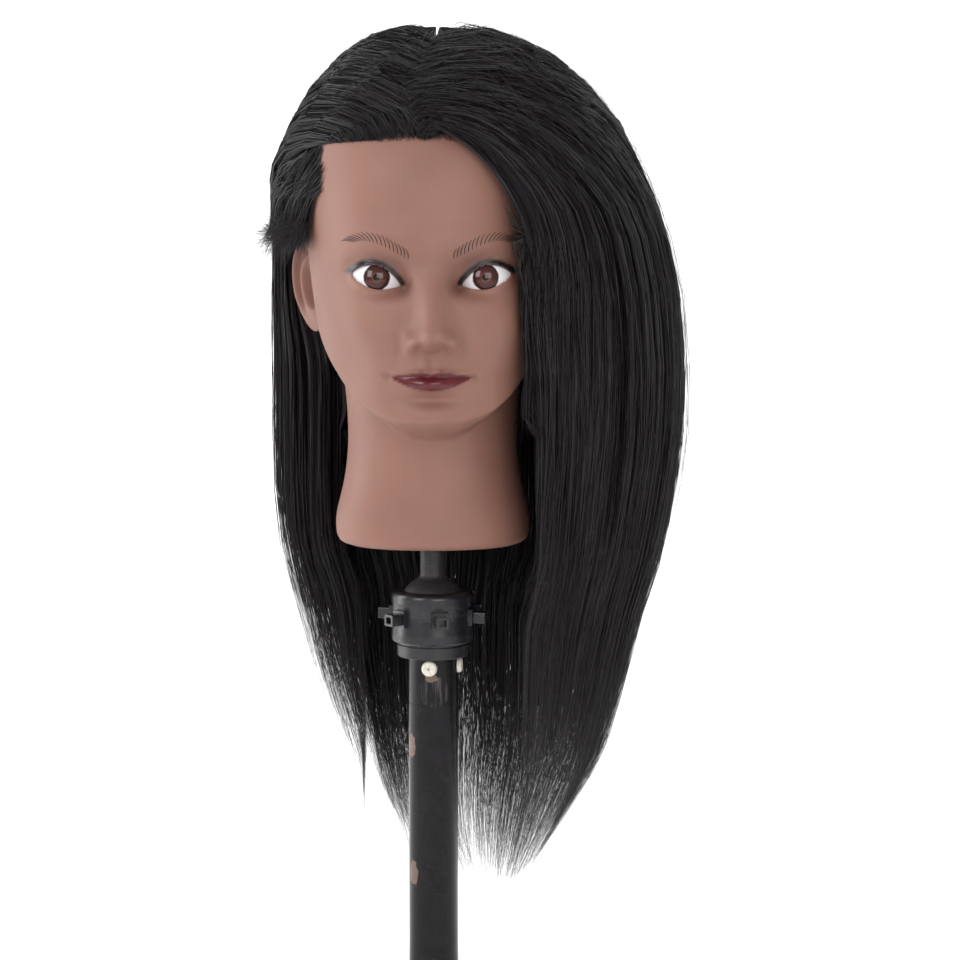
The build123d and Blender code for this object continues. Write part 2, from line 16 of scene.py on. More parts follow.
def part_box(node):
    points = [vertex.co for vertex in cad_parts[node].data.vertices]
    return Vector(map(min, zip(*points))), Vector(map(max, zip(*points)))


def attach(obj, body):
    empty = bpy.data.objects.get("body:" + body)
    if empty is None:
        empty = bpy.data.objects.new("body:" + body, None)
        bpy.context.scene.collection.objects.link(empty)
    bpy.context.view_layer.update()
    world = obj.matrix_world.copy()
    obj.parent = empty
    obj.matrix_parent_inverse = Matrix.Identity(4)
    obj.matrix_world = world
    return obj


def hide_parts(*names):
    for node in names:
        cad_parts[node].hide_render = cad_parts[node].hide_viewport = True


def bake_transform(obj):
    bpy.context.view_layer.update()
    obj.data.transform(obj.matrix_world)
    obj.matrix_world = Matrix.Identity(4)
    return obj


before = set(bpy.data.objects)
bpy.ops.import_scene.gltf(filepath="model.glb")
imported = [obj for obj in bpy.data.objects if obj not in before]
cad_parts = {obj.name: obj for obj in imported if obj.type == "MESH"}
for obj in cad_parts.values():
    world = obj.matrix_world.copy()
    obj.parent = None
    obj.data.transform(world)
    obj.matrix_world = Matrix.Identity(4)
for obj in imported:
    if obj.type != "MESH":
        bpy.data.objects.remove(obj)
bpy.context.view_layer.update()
scene = bpy.context.scene
neck_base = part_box("head_skin")[0][2]
skull_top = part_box("head_skin")[1][2]
print("neck base", round(neck_base, 4), "skull top", round(skull_top, 4))

# %% [markdown]
# ## Camera, floor and light
# A long lens from about a metre, level with the nose and tipped a little down, keeps the face
# free of wide-angle stretch. The backdrop is a pale sheet that curves from floor to wall, the way
# a studio hangs one, so no horizon line shows behind the hair.

# %% Camera
CAMERA_DISTANCE = 1.07
CAMERA_HEIGHT = 0.3976
AIM_HEIGHT = 0.297
AIM_SIDE = 0.0265

camera_data = bpy.data.cameras.new("camera")
camera_data.lens = 71.9
camera = bpy.data.objects.new("camera", camera_data)
scene.collection.objects.link(camera)
camera.location = (AIM_SIDE, -CAMERA_DISTANCE, CAMERA_HEIGHT)
aim = Vector((AIM_SIDE, 0, AIM_HEIGHT)) - camera.location
camera.rotation_euler = aim.to_track_quat("-Z", "Y").to_euler()
scene.camera = camera
print("camera looks down", round(degrees(atan2(CAMERA_HEIGHT - AIM_HEIGHT, CAMERA_DISTANCE)), 1))

# %% Backdrop
def link(thing):
    scene.collection.objects.link(thing)
    return thing


def plain_material(name, colour, roughness=0.5, **sockets):
    """A Principled material with its values set straight on the shader's sockets."""
    material = bpy.data.materials.new(name)
    material.use_nodes = True
    shader = material.node_tree.nodes["Principled BSDF"]
    shader.inputs["Base Color"].default_value = (*colour, 1)
    shader.inputs["Roughness"].default_value = roughness
    for key, value in sockets.items():
        shader.inputs[key.replace("_", " ")].default_value = value
    return material


FLOOR_DROP = 0.004
backdrop_mesh = bmesh.new()
corner = [backdrop_mesh.verts.new((-3, -2.2, -FLOOR_DROP)), backdrop_mesh.verts.new((3, -2.2, -FLOOR_DROP))]
sheet_edge = backdrop_mesh.edges.new(corner)
swept = [sheet_edge]
for forward, rise in ((3.0, 0.0), (0.35, 0.05), (0.3, 0.25), (0.12, 0.4), (0.0, 2.6)):
    grown = bmesh.ops.extrude_edge_only(backdrop_mesh, edges=swept)["geom"]
    bmesh.ops.translate(backdrop_mesh, vec=(0, forward, rise),
                        verts=[part for part in grown if isinstance(part, bmesh.types.BMVert)])
    swept = [part for part in grown if isinstance(part, bmesh.types.BMEdge)
             and all(vert in grown for vert in part.verts)]
bmesh.ops.recalc_face_normals(backdrop_mesh, faces=backdrop_mesh.faces[:])
backdrop_data = bpy.data.meshes.new("backdrop")
backdrop_mesh.to_mesh(backdrop_data)
backdrop = link(bpy.data.objects.new("backdrop", backdrop_data))
backdrop_data.materials.append(plain_material("pale_paper", (0.92, 0.92, 0.92), 0.9))
for polygon in backdrop_data.polygons:
    polygon.use_smooth = True
print("backdrop faces", len(backdrop_data.polygons))

# %% Lights
def softbox(name, place, size, power, target=(0, 0, 0.36)):
    """An area light that faces a target, as a studio softbox does."""
    light = bpy.data.lights.new(name, "AREA")
    light.shape = "RECTANGLE"
    light.size, light.size_y = size
    light.energy = power
    lamp = link(bpy.data.objects.new(name, light))
    lamp.location = place
    lamp.rotation_euler = (Vector(target) - Vector(place)).to_track_quat("-Z", "Y").to_euler()
    return lamp


softbox("key_left", (-1.05, -1.25, 0.95), (0.7, 0.9), 11)
softbox("front_fill", (0.55, -1.9, 0.75), (1.2, 1.0), 13)
softbox("rim_left", (-1.25, 0.25, 0.55), (0.5, 1.2), 9)
softbox("rim_right", (1.3, 0.35, 0.7), (0.5, 1.2), 7)
softbox("top", (0.0, -0.1, 1.7), (1.2, 1.2), 7)
softbox("paper_light", (0.0, 0.55, 1.5), (2.2, 0.6), 26, (0, 1.9, 0.35))
world = bpy.data.worlds.new("studio")
world.use_nodes = True
world.node_tree.nodes["Background"].inputs["Color"].default_value = (1, 1, 1, 1)
world.node_tree.nodes["Background"].inputs["Strength"].default_value = 0.50
scene.world = world
scene.view_settings.view_transform = "Standard"

# %% [markdown]
# ## The vinyl head
# The real head is one rotational moulding: skull, face and neck in one skin about 3 mm thick. It
# could be sculpted by hand, but here a flat grid is wrapped round a column of sections, and the
# face is then pushed out of it with a few soft strokes, each one named for what it shapes.

# %% Sections of the head
HEAD_TURN = radians(1.0)
AXIS_Y = 0.008
NECK_ROWS = np.array([
    # height, half width, front, back
    (0.2615, 0.0480, 0.0345, 0.0505),
    (0.2627, 0.0512, 0.0375, 0.0535),
    (0.2655, 0.0535, 0.0397, 0.0556),
    (0.2710, 0.0545, 0.0407, 0.0567),
    (0.2790, 0.0541, 0.0408, 0.0567),
    (0.2850, 0.0527, 0.0408, 0.0560),
    (0.2950, 0.0503, 0.0410, 0.0548),
    (0.3050, 0.0486, 0.0413, 0.0545),
    (0.3180, 0.0475, 0.0420, 0.0553),
    (0.3320, 0.0476, 0.0440, 0.0585),
    (0.3500, 0.0490, 0.0480, 0.0640),
    (0.3700, 0.0520, 0.0530, 0.0720),
    (0.4200, 0.0560, 0.0600, 0.0850),
    (0.5280, 0.0560, 0.0600, 0.0850),
])
FACE_ROWS = np.array([
    (0.2615, 0.0480, 0.0640, 0.0500),
    (0.3200, 0.0500, 0.0745, 0.0600),
    (0.3280, 0.0530, 0.0800, 0.0650),
    (0.3380, 0.0555, 0.0835, 0.0700),
    (0.3520, 0.0585, 0.0852, 0.0760),
    (0.3640, 0.0607, 0.0858, 0.0810),
    (0.3810, 0.0635, 0.0860, 0.0870),
    (0.4000, 0.0660, 0.0862, 0.0925),
    (0.4190, 0.0682, 0.0868, 0.0965),
    (0.4380, 0.0698, 0.0874, 0.0990),
    (0.4600, 0.0715, 0.0862, 0.0985),
    (0.4820, 0.0708, 0.0800, 0.0930),
    (0.5000, 0.0655, 0.0685, 0.0830),
    (0.5140, 0.0545, 0.0520, 0.0660),
    (0.5225, 0.0405, 0.0360, 0.0480),
    (0.5265, 0.0255, 0.0210, 0.0300),
    (0.5280, 0.0000, -0.0080, 0.0080),
])
JAW_LINE = np.array([
    # angle from the middle of the face, height of the jaw's edge
    (0, 0.3265), (12, 0.3275), (22, 0.3320), (32, 0.3400), (44, 0.3520), (58, 0.3640),
    (74, 0.3760), (90, 0.3840), (110, 0.3830), (140, 0.3700), (180, 0.3560),
])


def smooth_step(low, high, value):
    share = np.clip((value - low) / (high - low), 0, 1)
    return share * share * (3 - 2 * share)


def soft_rows(rows, height):
    """Half width, front and back at each height, on a smooth curve through the rows."""
    knots = rows[:, 0]
    place = np.clip(np.searchsorted(knots, height, side="right") - 1, 0, len(rows) - 2)
    span = knots[place + 1] - knots[place]
    share = np.clip((height - knots[place]) / span, 0, 1)[:, None]
    values = rows[:, 1:]
    slopes = np.gradient(values, knots, axis=0)
    low, high = values[place], values[place + 1]
    slope_low, slope_high = slopes[place] * span[:, None], slopes[place + 1] * span[:, None]
    s2, s3 = share ** 2, share ** 3
    return ((2 * s3 - 3 * s2 + 1) * low + (s3 - 2 * s2 + share) * slope_low
            + (3 * s2 - 2 * s3) * high + (s3 - s2) * slope_high)


def reach(rows, angle, height, front_power=2.2):
    """Distance from the head's axis to its surface. Angle 0 is the face, pi/2 is +X."""
    half, front, back = soft_rows(rows, height).T
    across, along = np.abs(np.sin(angle)), np.cos(angle)
    power = np.where(along > 0, front_power, 2.1)
    depth = np.maximum(np.where(along > 0, front + AXIS_Y, back - AXIS_Y), 1e-4)
    half = np.maximum(half, 1e-4)
    return ((across / half) ** power + (np.abs(along) / depth) ** power) ** (-1 / power)


def bare_head(angle, height):
    """The head before the face is modelled, with the jaw standing clear of the neck."""
    turn = np.degrees(np.abs(angle))
    jaw = np.interp(turn, JAW_LINE[:, 0], JAW_LINE[:, 1])
    soft = 0.006 + 0.010 * smooth_step(60, 130, turn)
    share = smooth_step(jaw - soft, jaw + soft * 1.5, height)
    distance = reach(NECK_ROWS, angle, height) * (1 - share) + reach(FACE_ROWS, angle, height) * share
    return distance * np.sin(angle), AXIS_Y - distance * np.cos(angle), height


print("sections", len(NECK_ROWS) + len(FACE_ROWS))

# %% Wrap a grid into the head
AROUND, UP = 250, 250
UNDER_ROWS = 6
SOCKET_EDGE = 0.0202

head_mesh = bmesh.new()
bmesh.ops.create_grid(head_mesh, x_segments=AROUND, y_segments=UP, size=0.5)
flat = np.array([vert.co[:] for vert in head_mesh.verts])
u, v = flat[:, 0] * 2, flat[:, 1] + 0.5
angle = pi * (0.42 * u + 0.58 * u ** 3)
rows = v * (UP - 1)
above = np.clip((rows - UNDER_ROWS) / (UP - 1 - UNDER_ROWS), 0, 1)
height = NECK_ROWS[0, 0] + (skull_top - NECK_ROWS[0, 0]) * np.where(
    above > 0.93, 0.93 + 0.07 * np.sin((above - 0.93) / 0.07 * pi / 2), above)
x, y, z = bare_head(angle, height)
under = np.clip(rows / UNDER_ROWS, 0, 1)
ring = np.hypot(x, y)
pull = np.where(rows < UNDER_ROWS, (SOCKET_EDGE + (ring - SOCKET_EDGE) * under) / ring, 1)
x, y = x * pull, y * pull
print("grid of", len(flat), "points")

# %% Eye openings
EYE_X, EYE_Z = 0.0281, 0.4091
EYE_BALL = 0.0160
EYE_Y = -0.0602
LID = 0.0009
UPPER_LID = ((0.0156, 0.4048), (0.0176, 0.4078), (0.0215, 0.4117), (0.0260, 0.4143),
             (0.0300, 0.4153), (0.0345, 0.4149), (0.0385, 0.4133), (0.0420, 0.4110))
LOWER_LID = ((0.0420, 0.4110), (0.0400, 0.4088), (0.0367, 0.4062), (0.0325, 0.4040),
             (0.0280, 0.4028), (0.0230, 0.4030), (0.0190, 0.4038), (0.0156, 0.4048))


def smooth_line(points, count):
    """A Catmull-Rom curve through the points, as an array of evenly numbered places."""
    knots = np.array(points)
    knots = np.vstack([2 * knots[0] - knots[1], knots, 2 * knots[-1] - knots[-2]])
    t = np.linspace(0, len(points) - 1 - 1e-6, count)
    i = t.astype(int)
    f = (t - i)[:, None]
    a, b, c, d = knots[i], knots[i + 1], knots[i + 2], knots[i + 3]
    return 0.5 * (2 * b + (c - a) * f + (2 * a - 5 * b + 4 * c - d) * f ** 2
                  + (3 * b - a - 3 * c + d) * f ** 3)


lid_line = np.vstack([smooth_line(UPPER_LID, 60)[:-1], smooth_line(LOWER_LID, 60)[:-1]])


def near_line(px, pz, line):
    """Distance to a closed line, the nearest place on it, and whether the point is inside."""
    best = np.full(px.shape, 1.0)
    at = np.zeros(px.shape + (2,))
    inside = np.zeros(px.shape, bool)
    for one, two in zip(line, np.roll(line, -1, axis=0)):
        run = two - one
        share = np.clip(((px - one[0]) * run[0] + (pz - one[1]) * run[1]) / (run @ run), 0, 1)
        near_x, near_z = one[0] + share * run[0], one[1] + share * run[1]
        gap = np.hypot(px - near_x, pz - near_z)
        closer = gap < best
        best = np.where(closer, gap, best)
        at[closer] = np.stack([near_x, near_z], axis=-1)[closer]
        if one[1] != two[1]:
            crosses = (one[1] > pz) != (two[1] > pz)
            inside ^= crosses & (px < (two[0] - one[0]) * (pz - one[1]) / (two[1] - one[1]) + one[0])
    return best, at, inside


def ball_y(px, pz, radius):
    """y of the eyeball's front, carried on as a cone outside it."""
    off = np.hypot(px - EYE_X, pz - EYE_Z)
    safe = np.minimum(off, 0.93 * radius)
    return EYE_Y - np.sqrt(radius ** 2 - safe ** 2) + (off - safe) * 1.2


eye_opening = np.ptp(lid_line, axis=0) * 1000
print("lid line", len(lid_line), "points, opening", np.round(eye_opening, 1), "mm")

# %% Strokes that push the face out of the head
def bump(px, pz, at_x, at_z, wide, tall, power=2.0):
    """A soft round stroke, 1 at its middle."""
    return np.exp(-(np.abs((px - at_x) / wide) ** power + np.abs((pz - at_z) / tall) ** power))


def curve_of(pz, *pairs):
    """A smooth value that changes with height."""
    table = np.array(pairs)
    return soft_rows(np.column_stack([table, table[:, 1], table[:, 1]]), pz)[:, 0]


NOSE_RIDGE = ((0.3600, 0), (0.3690, 0), (0.3705, 0.0020), (0.3725, 0.0080), (0.3745, 0.0135),
              (0.3770, 0.0172), (0.3800, 0.0180), (0.3840, 0.0160), (0.3900, 0.0126),
              (0.3970, 0.0086), (0.4050, 0.0040), (0.4120, 0.0010), (0.4200, 0.0008),
              (0.4300, 0), (0.4400, 0))
NOSE_WIDTH = ((0.3600, 0.0090), (0.3700, 0.0085), (0.3760, 0.0088), (0.3800, 0.0085), (0.3860, 0.0076),
              (0.3950, 0.0070), (0.4050, 0.0072), (0.4150, 0.0085), (0.4300, 0.0110))


STROKES = (
    # forwards, side, height, half width, half height, squareness
    (0.0085, 0.0103, 0.3752, 0.0044, 0.0050, 2.4),  # wings of the nose
    (0.0022, 0, 0.3790, 0.0060, 0.0050, 2.0),  # ball of the tip
    (-0.0052, 0.0062, 0.3733, 0.0026, 0.0017, 2.0),  # nostrils
    (-0.0016, 0.0162, 0.3740, 0.0022, 0.0060, 2.0),  # crease beside the wing
    (-0.0052, 0.0270, 0.4135, 0.0150, 0.0085, 2.0),  # eye sockets
    (-0.0034, 0.0150, 0.4090, 0.0065, 0.0090, 2.0),  # beside the nose's root
    (0.0022, 0.0230, 0.4290, 0.0190, 0.0070, 2.0),  # brow
    (0.0016, 0, 0.4290, 0.0120, 0.0080, 2.0),  # between the brows
    (0.0030, 0.0430, 0.3880, 0.0160, 0.0130, 2.0),  # cheekbones
    (0.0016, 0.0300, 0.3760, 0.0130, 0.0120, 2.0),  # apple of the cheek
    (-0.0022, 0.0430, 0.3580, 0.0140, 0.0120, 2.0),  # hollow of the cheek
    (-0.0012, 0.0570, 0.4350, 0.0090, 0.0150, 2.0),  # temples
    (0.0026, 0, 0.3620, 0.0190, 0.0085, 2.0),  # upper lip's roll
    (0.0022, 0, 0.3540, 0.0170, 0.0060, 2.0),
    (0.0017, 0.0048, 0.3602, 0.0060, 0.0017, 2.0),  # peaks of the upper lip
    (0.0012, 0.0130, 0.3594, 0.0070, 0.0014, 2.0),
    (0.0028, 0, 0.3540, 0.0115, 0.0031, 2.4),  # lower lip
    (-0.0032, 0, 0.3583, 0.0200, 0.0008, 2.2),  # line of the mouth
    (-0.0018, 0.0225, 0.3581, 0.0022, 0.0020, 2.0),  # corners of the mouth
    (-0.0008, 0, 0.3655, 0.0020, 0.0042, 2.0),  # groove over the lip
    (0.0005, 0.0038, 0.3655, 0.0017, 0.0042, 2.0),
    (-0.0036, 0, 0.3462, 0.0160, 0.0034, 2.0),  # fold under the lip
    (0.0038, 0, 0.3345, 0.0135, 0.0080, 2.0),  # chin
    (0.0016, 0, 0.4600, 0.0400, 0.0180, 2.0),  # forehead
)


def face_strokes(px, pz):
    """How far each point of the face moves forwards. px is the distance from the middle."""
    ridge, width = curve_of(pz, *NOSE_RIDGE), curve_of(pz, *NOSE_WIDTH)
    out = np.maximum(ridge, 0) * np.exp(-(np.abs(px) / width) ** 2.3)
    for amount, *stroke in STROKES:
        out = out + amount * bump(px, pz, *stroke)
    return out


front = smooth_step(-0.012, -0.045, y)
side_x = np.abs(x)
y = y - face_strokes(side_x, z) * front
gap, at, inside = near_line(side_x, z, lid_line)
on_face = y < -0.03
hug = np.exp(-(gap / 0.0042) ** 2) * on_face
hug = np.where(inside & on_face, 1.0, hug)
lid_y = ball_y(side_x, z, EYE_BALL + LID)
y = y * (1 - hug) + lid_y * hug
print("nose tip at", round(float(y.min()), 4))

# %% Snap the lids to a clean edge and open the eyes
snap = on_face & (gap < 0.00062)
x = np.where(snap, np.sign(x) * at[:, 0], x)
z = np.where(snap, at[:, 1], z)
y = np.where(snap, ball_y(np.abs(x), z, EYE_BALL + LID), y)
for vert, place in zip(head_mesh.verts, np.column_stack([x, y, z])):
    vert.co = place
bmesh.ops.remove_doubles(head_mesh, verts=head_mesh.verts[:], dist=0.00005)
head_mesh.verts.ensure_lookup_table()
spots = np.array([vert.co[:] for vert in head_mesh.verts])
gap, at, inside = near_line(np.abs(spots[:, 0]), spots[:, 2], lid_line)
within = inside & (gap > 1e-5) & (spots[:, 1] < -0.03)
opened = [face for face in head_mesh.faces if any(within[vert.index] for vert in face.verts)]
bmesh.ops.delete(head_mesh, geom=opened, context="FACES")
rims = [edge for edge in head_mesh.edges if edge.is_boundary
        and all(vert.co.y < -0.03 and vert.co.z > 0.39 for vert in edge.verts)]
grown = bmesh.ops.extrude_edge_only(head_mesh, edges=rims)["geom"]
for part in grown:
    if isinstance(part, bmesh.types.BMVert):
        part.co.y += LID + 0.0012
print("opened", len(opened), "faces, rim of", len(rims), "edges")

# %% [markdown]
# ## Skin, lid shadow and lipstick
# The make-up on these heads is sprayed and printed on the vinyl. Painting it as masks stored on the
# mesh keeps it glued to the surface: one number per point for the lid shadow, one for the lips, and
# the material mixes colour and gloss with them.

# %% Finish the head's mesh and store the paint masks
head_mesh.normal_update()
bmesh.ops.recalc_face_normals(head_mesh, faces=head_mesh.faces[:])
head_data = bpy.data.meshes.new("head_vinyl")
head_mesh.to_mesh(head_data)
head_mesh.free()
head = link(bpy.data.objects.new("head_vinyl", head_data))
for polygon in head_data.polygons:
    polygon.use_smooth = True

LIP_TOP = ((0.0, 0.3597), (0.0022, 0.3601), (0.0048, 0.3610), (0.0085, 0.3604),
           (0.0130, 0.3597), (0.0180, 0.3589), (0.0222, 0.3583))
LIP_LOW = ((0.0, 0.3509), (0.0060, 0.3512), (0.0110, 0.3524), (0.0155, 0.3545),
           (0.0195, 0.3566), (0.0222, 0.3580))
LIP_CORNER = 0.0220
SHADOW_TOP = ((0.0126, 0.4035), (0.0145, 0.4085), (0.0190, 0.4135), (0.0245, 0.4172),
              (0.0300, 0.4187), (0.0355, 0.4180), (0.0405, 0.4160), (0.0450, 0.4130))


def between(px, pz, low, high, edge):
    """1 between two lines drawn over the face, fading across an edge."""
    bottom = np.interp(px, *np.array(low).T)
    top = np.interp(px, *np.array(high).T)
    return smooth_step(bottom - edge, bottom + edge, pz) * smooth_step(top + edge, top - edge, pz)


spots = np.array([vert.co[:] for vert in head_data.vertices])
px, py, pz = np.abs(spots[:, 0]), spots[:, 1], spots[:, 2]
facing = smooth_step(-0.03, -0.05, py)
lips = between(px, pz, LIP_LOW, LIP_TOP, 0.0005) * facing
lips *= smooth_step(LIP_CORNER + 0.0008, LIP_CORNER - 0.0008, px)
shadow = between(px, pz, ((0.0118, 0.4040),) + UPPER_LID + ((0.0460, 0.4122),), SHADOW_TOP, 0.0009)
shadow *= smooth_step(0.0105, 0.0145, px) * smooth_step(0.0465, 0.0430, px) * facing
haze = bump(px, pz, 0.0265, 0.4165, 0.0170, 0.0050) * facing
for name, values in (("lips", lips), ("lid_shadow", shadow), ("lid_haze", haze)):
    layer = head_data.attributes.new(name, "FLOAT", "POINT")
    layer.data.foreach_set("value", values.astype(np.float32))
print("lip points", int((lips > 0.5).sum()), "shadow points", int((shadow > 0.5).sum()))

# %% Vinyl material
def nodes_of(material):
    tree = material.node_tree
    return tree.nodes, tree.links, tree.nodes["Principled BSDF"]


def feed(material, socket, source):
    """Wire a pattern into one of the shader's sockets."""
    _, links, shader = nodes_of(material)
    links.new(source, shader.inputs[socket])


def noise(material, scale, detail=4.0, roughness=0.55, stretch=(1, 1, 1)):
    """Noise on Object coordinates, so it stays put on the piece."""
    nodes, links, _ = nodes_of(material)
    place = nodes.new("ShaderNodeTexCoord")
    mapping = nodes.new("ShaderNodeMapping")
    mapping.inputs["Scale"].default_value = stretch
    pattern = nodes.new("ShaderNodeTexNoise")
    pattern.inputs["Scale"].default_value = scale
    pattern.inputs["Detail"].default_value = detail
    pattern.inputs["Roughness"].default_value = roughness
    links.new(place.outputs["Object"], mapping.inputs["Vector"])
    links.new(mapping.outputs["Vector"], pattern.inputs["Vector"])
    return pattern.outputs["Fac"]


def ramp(material, source, *stops):
    """Turn a pattern into colours through a colour ramp."""
    nodes, links, _ = nodes_of(material)
    colours = nodes.new("ShaderNodeValToRGB")
    while len(colours.color_ramp.elements) < len(stops):
        colours.color_ramp.elements.new(0.5)
    for element, (at, colour) in zip(colours.color_ramp.elements, stops):
        element.position = at
        element.color = (*colour, 1) if len(colour) == 3 else colour
    links.new(source, colours.inputs["Fac"])
    return colours.outputs["Color"]


def mix(material, kind, sockets, values):
    """A Mix node; each value is a number, a colour or another node's output."""
    nodes, links, _ = nodes_of(material)
    blend = nodes.new("ShaderNodeMix")
    blend.data_type = kind
    for place, value in zip(sockets, values):
        if isinstance(value, (int, float)):
            blend.inputs[place].default_value = value
        elif isinstance(value, tuple):
            blend.inputs[place].default_value = (*value, 1)
        else:
            links.new(value, blend.inputs[place])
    return blend


def mix_colour(material, share, one, two):
    return mix(material, "RGBA", (0, 6, 7), (share, one, two)).outputs[2]


def mix_number(material, share, one, two):
    return mix(material, "FLOAT", (0, 2, 3), (share, one, two)).outputs[0]


def stored(material, name):
    nodes, _, _ = nodes_of(material)
    layer = nodes.new("ShaderNodeAttribute")
    layer.attribute_name = name
    return layer.outputs["Fac"]


def bump_from(material, height, strength, distance):
    nodes, links, shader = nodes_of(material)
    bumps = nodes.new("ShaderNodeBump")
    bumps.inputs["Strength"].default_value = strength
    bumps.inputs["Distance"].default_value = distance
    links.new(height, bumps.inputs["Height"])
    links.new(bumps.outputs["Normal"], shader.inputs["Normal"])


vinyl = plain_material("brown_vinyl", (0.22, 0.105, 0.076), 0.52, Subsurface_Weight=0.10,
                       Subsurface_Scale=0.004, Specular_IOR_Level=0.42)
nodes_of(vinyl)[2].inputs["Subsurface Radius"].default_value = (1.0, 0.35, 0.2)
skin_tone = ramp(vinyl, noise(vinyl, 22.0, 3.0),
                 (0.35, (0.225, 0.106, 0.078)), (0.65, (0.252, 0.121, 0.089)))
haze_share = mix_number(vinyl, stored(vinyl, "lid_haze"), 0.0, 0.38)
hazed = mix_colour(vinyl, haze_share, skin_tone, (0.075, 0.045, 0.042))
shaded = mix_colour(vinyl, stored(vinyl, "lid_shadow"), hazed, (0.007, 0.007, 0.009))
lipstick = ramp(vinyl, noise(vinyl, 300.0, 2.0),
                (0.3, (0.080, 0.009, 0.013)), (0.7, (0.115, 0.013, 0.019)))
painted = mix_colour(vinyl, stored(vinyl, "lips"), shaded, lipstick)
feed(vinyl, "Base Color", painted)
dull = mix_number(vinyl, noise(vinyl, 60.0, 3.0), 0.50, 0.60)
glossy_lids = mix_number(vinyl, stored(vinyl, "lid_shadow"), dull, 0.30)
gloss = mix_number(vinyl, stored(vinyl, "lips"), glossy_lids, 0.17)
feed(vinyl, "Roughness", gloss)
bump_from(vinyl, noise(vinyl, 900.0, 2.0), 0.06, 0.0004)
head_data.materials.append(vinyl)
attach(head, "head")
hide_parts("head_skin", "foam_core")
print("head faces", len(head_data.polygons))

# %% [markdown]
# ## Eyes
# The real eyes are glossy domes printed with an iris and set behind the lids. A sphere with its
# pole turned forwards has rings round the pupil, so one stored number, the distance from the
# pupil's middle, can colour the pupil, the flecked iris, its dark edge and the white.

# %% Eyeballs
IRIS = 0.0064
CORNEA_BULGE = 0.0007


def turn_with_head(mesh):
    """Bring a piece made straight ahead into line with the slightly turned head."""
    bmesh.ops.rotate(mesh, verts=mesh.verts[:], cent=(0, 0, 0), matrix=Matrix.Rotation(HEAD_TURN, 3, "Z"))


def finished(mesh, name, material, body):
    """Turn a bmesh into a linked object that rides on a body."""
    data = bpy.data.meshes.new(name)
    mesh.to_mesh(data)
    mesh.free()
    data.polygons.foreach_set("use_smooth", [True] * len(data.polygons))
    data.materials.append(material)
    piece = link(bpy.data.objects.new(name, data))
    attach(piece, body)
    return piece


eye_paint = plain_material("printed_eye", (0.8, 0.8, 0.8), 0.14, Coat_Weight=0.25, Coat_Roughness=0.02,
                           Specular_IOR_Level=0.35)
ring_share = stored(eye_paint, "ring")
flecks = noise(eye_paint, 900.0, 4.0, 0.7)
fleck_mix = mix_number(eye_paint, 0.16, ring_share, flecks)
eye_colour = ramp(eye_paint, fleck_mix,
                  (0.00, (0.003, 0.002, 0.002)), (0.285, (0.004, 0.002, 0.002)),    # pupil
                  (0.33, (0.13, 0.042, 0.018)), (0.40, (0.075, 0.017, 0.009)),      # iris
                  (0.52, (0.050, 0.009, 0.006)), (0.78, (0.036, 0.007, 0.006)),
                  (0.87, (0.008, 0.003, 0.003)),                                    # its dark edge
                  (0.915, (0.25, 0.22, 0.22)), (0.94, (0.72, 0.70, 0.71)))          # white
feed(eye_paint, "Base Color", eye_colour)
for side, name in ((-1, "left_eye"), (1, "right_eye")):
    ball_mesh = bmesh.new()
    bmesh.ops.create_uvsphere(ball_mesh, u_segments=72, v_segments=220, radius=EYE_BALL)
    far = [vert for vert in ball_mesh.verts if vert.co.z < 0.35 * EYE_BALL]
    bmesh.ops.delete(ball_mesh, geom=far, context="VERTS")
    for vert in ball_mesh.verts:
        off = vert.co.xy.length
        vert.co *= 1 + CORNEA_BULGE / EYE_BALL * max(0.0, 1 - (off / IRIS) ** 2)
    bmesh.ops.rotate(ball_mesh, verts=ball_mesh.verts[:], cent=(0, 0, 0),
                     matrix=Matrix.Rotation(pi / 2, 3, "X"))
    ring = [sqrt(vert.co.x ** 2 + vert.co.z ** 2) / IRIS for vert in ball_mesh.verts]
    bmesh.ops.translate(ball_mesh, verts=ball_mesh.verts[:], vec=(side * EYE_X, EYE_Y, EYE_Z))
    turn_with_head(ball_mesh)
    eye = finished(ball_mesh, name, eye_paint, "head")
    layer = eye.data.attributes.new("ring", "FLOAT", "POINT")
    layer.data.foreach_set("value", [min(1.2, value) / 1.2 * 1.12 for value in ring])
    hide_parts(f"{name[:-4]}_eye_white", f"{name[:-4]}_iris", f"{name[:-4]}_cornea")
    print(name, "faces", len(eye.data.polygons))

# %% [markdown]
# ## Brows
# Each brow is about seventeen fine pen strokes: the inner ones stand up, the outer ones lie flat.
# Curves with a tapering radius draw them just proud of the vinyl, so they stay crisp at any
# distance, which a painted mask on the mesh could not do.

# %% Brow strokes
BROW_FOOT = ((0.0117, 0.4184), (0.0175, 0.4212), (0.0240, 0.4246),
             (0.0305, 0.4270), (0.0360, 0.4277), (0.0400, 0.4272))
BROW_TIP = ((0.0131, 0.4236), (0.0192, 0.4272), (0.0262, 0.4307),
            (0.0350, 0.4322), (0.0425, 0.4305), (0.0470, 0.4280))
BROW_STROKES = 17
STROKE_STEPS = 6
STROKE_BOW = 0.0006
STROKE_RADIUS = 0.00027

head_tree = BVHTree.FromObject(head, bpy.context.evaluated_depsgraph_get())


def on_skin(x_at, z_at, lift=0.0):
    """The point of the face straight behind (x, z)."""
    hit = head_tree.ray_cast(Vector((x_at, -0.3, z_at)), Vector((0, 1, 0)))[0]
    return Vector((x_at, hit.y - lift, z_at))


